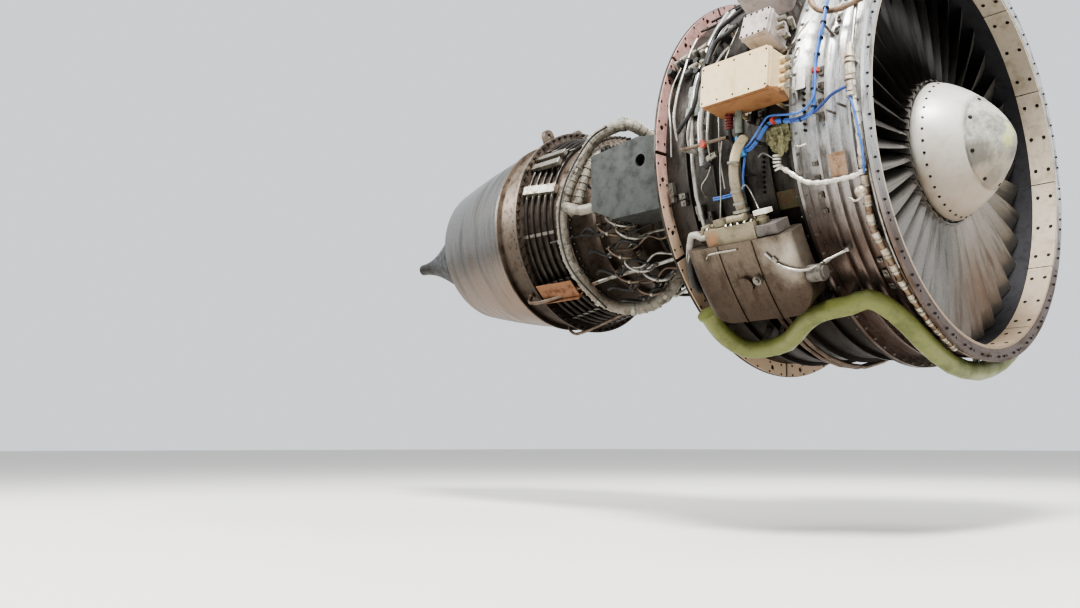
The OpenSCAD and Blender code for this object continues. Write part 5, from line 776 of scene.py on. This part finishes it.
# Looms and fittings at the rear of the case
# Heavy black wire looms that leave the boxes for the pylon, with grey lines beside them, and small
# plain plates, brackets and plugs screwed to the case all round. The lines over its top aren't in
# view and follow the engine's kind.
lines("black_looms", [
    [(480, 57, 905), (557, 58.8, 892), (616, 58.9, 874), (644, 61.2, 862), (650, 65, 858),
     (655, 70, 858), (672, 75.2, 856), (678, 79.6, 852), (700, 82.4, 846), (745, 84.6, 836),
     (790, 85.6, 812)],
    [(500, 63.4, 900), (560, 63.6, 884), (610, 63.6, 872), (636, 66, 862), (646, 70, 858)]],
      width=17, material=worn_black)
lines("grey_looms", [
    [(570, 60, 880), (600, 62, 866), (640, 66.4, 846), (665, 69.5, 842), (682, 74, 840),
     (694, 78.5, 838), (706, 83, 836), (722, 88, 834), (730, 92.5, 812)],
    [(560, 66, 850), (600, 68, 842), (622, 72, 840), (626, 78, 838), (622, 84, 838), (628, 90, 836),
     (640, 93, 812)],
    [(776, 56, 838), (778, 62, 838), (780, 68, 836), (790, 75, 834), (794, 82, 832),
     (790, 88, 812)]],
      width=12, material=dull_tube)
lines("thin_rear_lines", [
    [(540, 60, 856), (560, 66, 846), (575, 72, 842), (580, 80, 840), (572, 88, 838), (576, 96, 836),
     (585, 104, 820)],
    [(804, 66, 834), (824, 72, 834), (828, 78, 830), (814, 84, 826), (822, 92, 812)],
    [(230, 66, 836), (260, 70, 842), (282, 74, 846), (300, 78, 842), (318, 77, 820)],
    [(226, 80.2, 905), (214, 77.4, 900), (226, 74.6, 885), (262, 73.4, 860), (300, 73.2, 840)],
    [(226, 82.1, 905), (208, 79.6, 896), (214, 76.2, 880), (240, 75.4, 860), (270, 76, 830)],
    [(224, 86, 905), (212, 87.4, 888), (226, 88.4, 866), (252, 88.6, 846), (292, 87.8, 840)]],
      width=7, material=dull_tube)
# Thin sheet plates: white enamel, rusted tan, oil-stained olive and chalky grey-green paint.
blocks("plain_white_plate", [(266, 81, 804, 64, 76, 3)],
       weathered("white_enamelled_plate", "#f2f0ea", "#cfcbc0", "#8d877a", metallic=0.0, rough=0.45,
                 patch=50))
blocks("tan_plates", [(133, 104.4, 804, 62, 80, 3), (330, 79.5, 792, 24, 140, 3)],
       weathered("rusted_tan_plate", "#a08872", "#83684f", "#4a3a2c", metallic=0.2, rough=0.6,
                 patch=30, cover=0.6))
blocks("dark_olive_plate", [(362, 110.2, 786, 92, 66, 3)],
       weathered("stained_olive_plate", "#5f5a3f", "#6b4a3c", "#2f2a22", metallic=0.1, rough=0.6,
                 patch=20, cover=0.6))
blocks("grey_green_plate", [(738, 76.5, 792, 66, 140, 3)],
       weathered("grey_green_plate_paint", "#8f978e", "#747b70", "#474b41", metallic=0.1, rough=0.5,
                 patch=40))
top_tubes, top_looms = [], []
for i in range(6):
    clock = 311 + 8 * i
    top_tubes.append([(440 + 12 * i, clock, 784), (470, clock + 3, 810),
                      (560 + 20 * (i % 3), clock + 5, 812), (660, clock + 2 + 3 * (i % 2), 812),
                      (780, clock + 6, 812), (860, clock + 4, 806)])
    top_looms.append([(430 + 8 * i, 8 + 7 * i, 784), (470, 10 + 7 * i, 812), (640, 8 + 7 * i, 814),
                      (760, 12 + 7 * i, 812), (852, 10 + 7 * i, 800)])
lines("top_tubes", top_tubes, width=12, material=dull_tube)
lines("top_looms", top_looms, width=10, material=worn_black)
# Brackets of several sizes: on the side that isn't in view, on the rear of the case except where
# the tank stands, and on its front. Their odd steps round it keep them from lining up.
left_stations = (330, 470, 560, 640, 780, 850)
rear_stations = (310, 345, 420, 470, 548, 600, 690, 735, 800, 850)
front_stations = (92, 134, 178, 222)
brackets = []
for i in range(36):
    clock = 200 + (i * 41) % 152
    brackets.append((left_stations[i % 6], clock, 790, 18 + 6 * (i % 3), 24 + 8 * (i % 4), 22))
for i in range(44):
    station = rear_stations[i % 10]
    clock = 52 + (i * 37) % 82 + 0.4 * (i % 5)
    if 112 < clock < 136 and station < 730:
        continue
    brackets.append((station, clock, 790, 16 + 7 * (i % 3), 22 + 9 * (i % 4), 22))
for i in range(16):
    clock = 46 + (i * 23) % 96
    brackets.append((front_stations[i % 4], clock, 792, 20, 16 + 8 * (i % 3), 10))
blocks("case_brackets", brackets, bracket_steel)
bolt_heads("bracket_bolts",
           [(clock_point(station / 1000, clock, 0.803 if station > 300 else 0.7985),
             outward_at(clock)) for station, clock, *rest in brackets],
           width=0.012, height=0.008, material=steel_bolt)
bolt_heads("case_strip_bolts",
           [(clock_point((429 + 3 * k) / 1000, 98 + 1.3 * k, 0.781), outward_at(98 + 1.3 * k))
            for k in range(8)]
           + [(clock_point(0.246, 83 + 1.6 * k, 0.789), outward_at(83 + 1.6 * k))
              for k in range(8)],
           width=0.012, height=0.010, material=dark_bolt, sides=8)
loose_plugs = [(307, 67.5, 880), (300, 70.4, 862), (288, 66.0, 856), (340, 74.2, 866),
               (322, 75.6, 850), (312, 73.4, 842), (560, 61.4, 862), (600, 60.0, 850),
               (700, 64.2, 836), (735, 66.8, 832), (752, 62.6, 830), (720, 60.6, 832),
               (690, 67.6, 830), (810, 61.5, 826), (840, 64.0, 824), (600, 95.6, 850)]
bolt_heads("loose_plugs",
           [(clock_point(s / 1000, c, r / 1000), (1, 0, 0.3) if i % 2 else (0.2, -0.7, 0.6))
            for i, (s, c, r) in enumerate(loose_plugs)],
           width=0.026, height=0.042, material=plug_steel, sides=14)
bolt_heads("dark_plugs",
           [(clock_point((s + 24) / 1000, c + 1.4, (r - 6) / 1000),
             (1, -0.2, 0.2) if i % 2 else (0, -1, 0.2))
            for i, (s, c, r) in enumerate(loose_plugs)],
           width=0.030, height=0.036, material=worn_black, sides=14)

# Core cases
# Welded and machined rings of nickel alloy and steel, bolted at their flanges, straw coloured to
# brown with heat and grey with soot. Tubes, wire looms and blackened cooling tubes are clipped and
# strapped to them.

# Steel and nickel grow a skin in the heat that shines little, streaked round the engine.
compressor_skin = weathered("grey_compressor_case", "#7a7671", "#57514b", "#2f2a25", metallic=0.7,
                            rough=0.42, patch=40, grain=(1, 0.4, 1), cover=0.55, turned=True)
sooty_case = weathered("sooty_turbine_case", "#85796d", "#54483e", "#2a221c", metallic=0.6,
                       rough=0.45, patch=45, grain=(1, 0.35, 1), cover=0.6, speck=0.5,
                       belly=(0.05, -0.4, "#33281f"), turned=True)
for node in ("core_compressor_case", "vane_rings", "forward_mount"):
    dress(node, compressor_skin)
for node in ("combustor_case", "fuel_nozzles", "fuel_manifold", "core_turbine_case",
             "lp_turbine_case", "rear_frame_ring", "rear_frame_hub"):
    dress(node, sooty_case)
tube_black = weathered("blackened_cooling_tube", "#47423d", "#2f2a26", "#191613", metallic=0.7,
                       rough=0.35, patch=40, grain=(1, 0.3, 1), turned=True)
dress("cooling_tubes", tube_black, zones=[((1840, 71, 460), (2070, 79, 560), plug_steel)])
dress("core_pipes", dull_tube, smooth=70, zones=[((1700, 116, 400), (2250, 244, 760), oily_tube)])
bolt_heads("turbine_flange_bolts",
           [(clock_point(station, 2 + i * 5, radius), (way, 0, 0)) for i in range(72)
            for station, radius, way in ((2.054, 0.526, 1), (2.086, 0.526, -1), (1.764, 0.446, 1),
                                         (1.786, 0.446, -1))],
           width=0.014, height=0.014, material=dark_bolt)
blocks("cooling_feed_boxes", [(1955, 58, 500, 196, 34, 26), (1955, 50.5, 500, 196, 30, 26)],
       plug_steel)
# A steel angle, brown with rust.
blocks("support_bracket", [(1915, 139.6, 512, 250, 6, 96), (1915, 134.2, 540, 250, 92, 6)],
       weathered("rust_stained_bracket", "#8a664c", "#6c4b35", "#38271c", metallic=0.5, rough=0.5,
                 patch=40))
core_lines = []
for i in range(20):
    clock = 9 + i * 18
    core_lines.append([(1418, clock, 402), (1440, clock + 3, 424), (1476, clock + 5, 418),
                       (1498, clock + 7, 396), (1490, clock + 10, 372)])
lines("combustor_lines", core_lines, width=7, material=dull_tube)
lines("core_wires", [
    [(905, 98, 372), (960, 100, 378), (1100, 103, 372), (1260, 108, 372), (1380, 112, 404),
     (1480, 112, 436), (1560, 110, 452), (1700, 108, 492), (1840, 108, 530)],
    [(905, 150, 366), (1000, 148, 372), (1150, 146, 374), (1300, 148, 376), (1400, 152, 410),
     (1500, 158, 436), (1640, 164, 452), (1760, 168, 500)],
    [(905, 70, 372), (1000, 66, 376), (1150, 62, 372), (1280, 60, 376), (1380, 58, 412)],
    [(905, 250, 372), (1050, 252, 376), (1200, 250, 372), (1300, 248, 380), (1400, 246, 412),
     (1560, 244, 446), (1700, 244, 492)]], width=10, material=worn_black)
core_tubes, core_looms = [], []
for i in range(9):
    clock = 52 + 13 * i
    core_tubes.append([(905, clock, 380 + 6 * (i % 3)), (1000 + 30 * (i % 4), clock + 4, 382),
                       (1120, clock - 2, 376), (1240 + 20 * (i % 3), clock + 5, 384),
                       (1352, clock + 1, 398), (1440, clock + 6, 430),
                       (1530 + 24 * (i % 3), clock + 2, 446)])
    core_looms.append([(1404, clock + 5, 420), (1470, clock - 1, 446), (1560, clock + 6, 462),
                       (1640, clock + 1, 470), (1704, clock + 4, 452)])
lines("core_tubes", core_tubes[::3], width=12, material=dull_tube)
lines("core_oily_tubes", core_tubes[1::3] + core_tubes[2::3], width=12, material=oily_tube)
lines("core_dark_looms", core_looms, width=15, material=worn_black)
blocks("core_tube_clips", [(1120, 50 + 13 * i, 362, 14, 26, 40) for i in range(9)]
       + [(1560, 58 + 13 * i, 448, 16, 26, 34) for i in range(9)], bracket_steel)
tube_straps = []
for i in range(12):
    for k in range(5):
        tube_straps.append((1882 + 38 * k, 12 + 30 * i, 471.5 + 7.87 * k, 36, 16, 3))
blocks("tube_straps", tube_straps, bracket_steel)

# Hot air manifold and cooler
# A thin steel duct with a thinner branch, both under a quilted grey-white blanket that clamps and
# wire hold and that oil has browned, and a folded sheet cooler in a dark grey-green paint.

# Quilted glass cloth with a foil backing, crumpled, greasy and almost matt.
blanket = weathered("grey_white_insulation_blanket", "#938d81", "#655e53", "#352d24", metallic=0.1,
                    rough=0.5, patch=35, cover=0.55, bump=0.6, speck=0.6)
stain_and_shade_patch(blanket, (-1.62, -0.36, -0.42), 0.20, "#6b5442", 0.6, core=0.5)
cooler_paint = weathered("grey_green_cooler_paint", "#393b37", "#2b2c28", "#191814", metallic=0.1,
                         rough=0.5, patch=60, cover=0.5, speck=0.45)
dress("bleed_duct", blanket, smooth=60)
manifold_route = [(1347, 48, 340), (1362, 48, 440), (1410, 49, 525), (1495, 52, 550),
                  (1594, 60, 550), (1673, 84, 550), (1714, 96, 550), (1731, 113, 550),
                  (1722, 124, 550), (1684, 143, 550), (1600, 154, 540), (1480, 160, 500),
                  (1390, 161, 420)]
collars("manifold_clamps", [manifold_route],
        width=66, pitch=168, length=20, material=plug_steel, start=60)
collars("manifold_wire_wraps", [manifold_route], width=60, pitch=30, length=7, material=blanket)
lines("branch_duct", [[(1548, 56, 470), (1584, 64, 500), (1604, 72, 506), (1626, 84, 506),
                       (1640, 91, 518), (1676, 96, 546)]], width=46, material=blanket)
collars("branch_wraps", [[(1584, 64, 500), (1604, 72, 506), (1626, 84, 506), (1640, 91, 518)]],
        width=52, pitch=34, length=9, material=blanket)
core_loops = []
for station, clock in ((1500, 100), (1560, 104), (1450, 108), (1530, 118), (1470, 128), (1560, 134),
                       (1400, 136), (1500, 146)):
    core_loops.append([(station, clock, 420), (station + 10, clock + 1, 470),
                       (station - 40, clock + 5, 490), (station - 96, clock + 8, 474),
                       (station - 110, clock + 9, 410)])
lines("core_loops", core_loops[::2], width=13, material=dull_tube)
lines("core_dull_loops", core_loops[1::2], width=13, material=oily_tube)
collars("core_loop_nuts", core_loops, width=20, pitch=96, length=12, material=plug_steel, start=40)
lines("manifold_wires", [[(1470, 56, 590), (1560, 62, 590), (1640, 80, 592), (1690, 96, 592),
                          (1704, 113, 592), (1690, 126, 590), (1640, 146, 586)]],
      width=9, material=worn_black)
dress("precooler", cooler_paint, bevel=0.002)

# Exhaust nozzle and plug
# Nickel alloy sheet, spun to shape, welded and brushed, so it shines grey in fine rings. The plug
# is darkened by heat. It keeps its width past the nozzle's lip and then sweeps in to its tip.
# It turns browner towards the bottom: painted shade and a painted warm reflection.
brushed_sheet = weathered("brushed_nickel_sheet", "#8f8d8a", "#716e6b", "#4c443c", metallic=0.9,
                          rough=0.27, patch=70, grain=(1, 0.05, 1), cover=0.5, bump=0.04,
                          speck=0.25, belly=(-0.05, -0.40, "#7d6655"), turned=True)
dark_sheet = weathered("heat_darkened_plug_sheet", "#555350", "#413e3b", "#2a2622", metallic=0.85,
                       rough=0.36, patch=50, grain=(1, 0.2, 1), cover=0.5, bump=0.04, turned=True)
dress("exhaust_nozzle", brushed_sheet, smooth=50)
plug_base, plug_tip = (-2.262, 0.286), (-3.6, 0.034)
plug_steps = 24
sweep_start = 0.40
plug = bmesh.new()
plug_outline = [(plug_base[0], 0)]
for i in range(plug_steps + 1):
    share = i / plug_steps
    sweep = max(0.0, (share - sweep_start) / (1 - sweep_start))
    fullness = 1 - sweep * sweep * (3 - 2 * sweep)
    plug_outline.append((plug_base[0] + (plug_tip[0] - plug_base[0]) * share,
                         plug_tip[1] + (plug_base[1] - plug_tip[1]) * fullness))
plug_outline.append((plug_tip[0], 0))
chain = [plug.verts.new((x, 0, r)) for x, r in plug_outline]
edges = [plug.edges.new(pair) for pair in zip(chain, chain[1:])]
bmesh.ops.spin(plug, geom=chain + edges, cent=(0, 0, 0), axis=(1, 0, 0), angle=math.tau, steps=72,
               use_merge=True)
bmesh.ops.remove_doubles(plug, verts=plug.verts, dist=0.00005)
bmesh.ops.recalc_face_normals(plug, faces=plug.faces)
plug_piece = settle("exhaust_plug_cone", plug, dark_sheet)
plug_piece.data.shade_smooth()
plug_piece.data.set_sharp_from_angle(angle=math.radians(50))
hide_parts("exhaust_plug")

# Floor, light and camera
# A plain pale floor under soft studio light, seen from where the photograph was taken: low on the
# engine's front right, looking slightly up.
floor_z = -1.45
floor_reach = 60
floor_mesh = bpy.data.meshes.new("floor")
floor_shape = bmesh.new()
bmesh.ops.create_grid(floor_shape, x_segments=1, y_segments=1, size=floor_reach)
bmesh.ops.translate(floor_shape, vec=(0, 0, floor_z), verts=floor_shape.verts)
floor_shape.to_mesh(floor_mesh)
floor_shape.free()
floor = put_in_scene("floor", floor_mesh)
# Matt paint, so that the floor takes only a soft shadow.
floor_paint = bpy.data.materials.new("pale_floor")
floor_paint.use_nodes = True
floor_finish = floor_paint.node_tree.nodes["Principled BSDF"].inputs
floor_finish["Base Color"].default_value = srgb("#d6d3cd")
floor_finish["Roughness"].default_value = 0.8
floor_mesh.materials.append(floor_paint)

world = bpy.data.worlds.new("studio")
world.use_nodes = True
sky = world.node_tree.nodes["Background"].inputs
sky["Color"].default_value = srgb("#e9edf2")
sky["Strength"].default_value = 0.85
bpy.context.scene.world = world


def soft_light(name, place, aim, size, power):
    """A square studio light that points at a place."""
    lamp = bpy.data.lights.new(name, "AREA")
    lamp.size = size
    lamp.energy = power
    stand = put_in_scene(name, lamp)
    stand.location = place
    stand.rotation_euler = (Vector(aim) - Vector(place)).to_track_quat("-Z", "Y").to_euler()


# A key light high above the camera, a fill at its left, and a light behind the engine.
soft_light("key", (1.6, -3.0, 5.6), (-0.5, 0, 0), 2.0, 820)
soft_light("fill", (-4.6, -3.6, 2.4), (-1.6, 0, 0), 1.8, 150)
soft_light("back", (-2.0, 4.0, 3.5), (-0.8, 0, 0), 3.0, 200)

camera_place = (1.52, -3.62, -1.13)
camera_turn = math.radians(47.8)
camera_rise = math.radians(8.3)
lens_mm = 32.3
camera = put_in_scene("camera", bpy.data.cameras.new("camera"))
camera.data.sensor_width = 36
camera.data.lens = lens_mm
camera.data.clip_end = 200
camera.location = camera_place
camera.rotation_euler = (math.pi / 2 + camera_rise, 0, camera_turn)
bpy.context.scene.camera = camera
bpy.context.scene.view_settings.view_transform = "AgX"
bpy.context.scene.view_settings.look = "AgX - High Contrast"
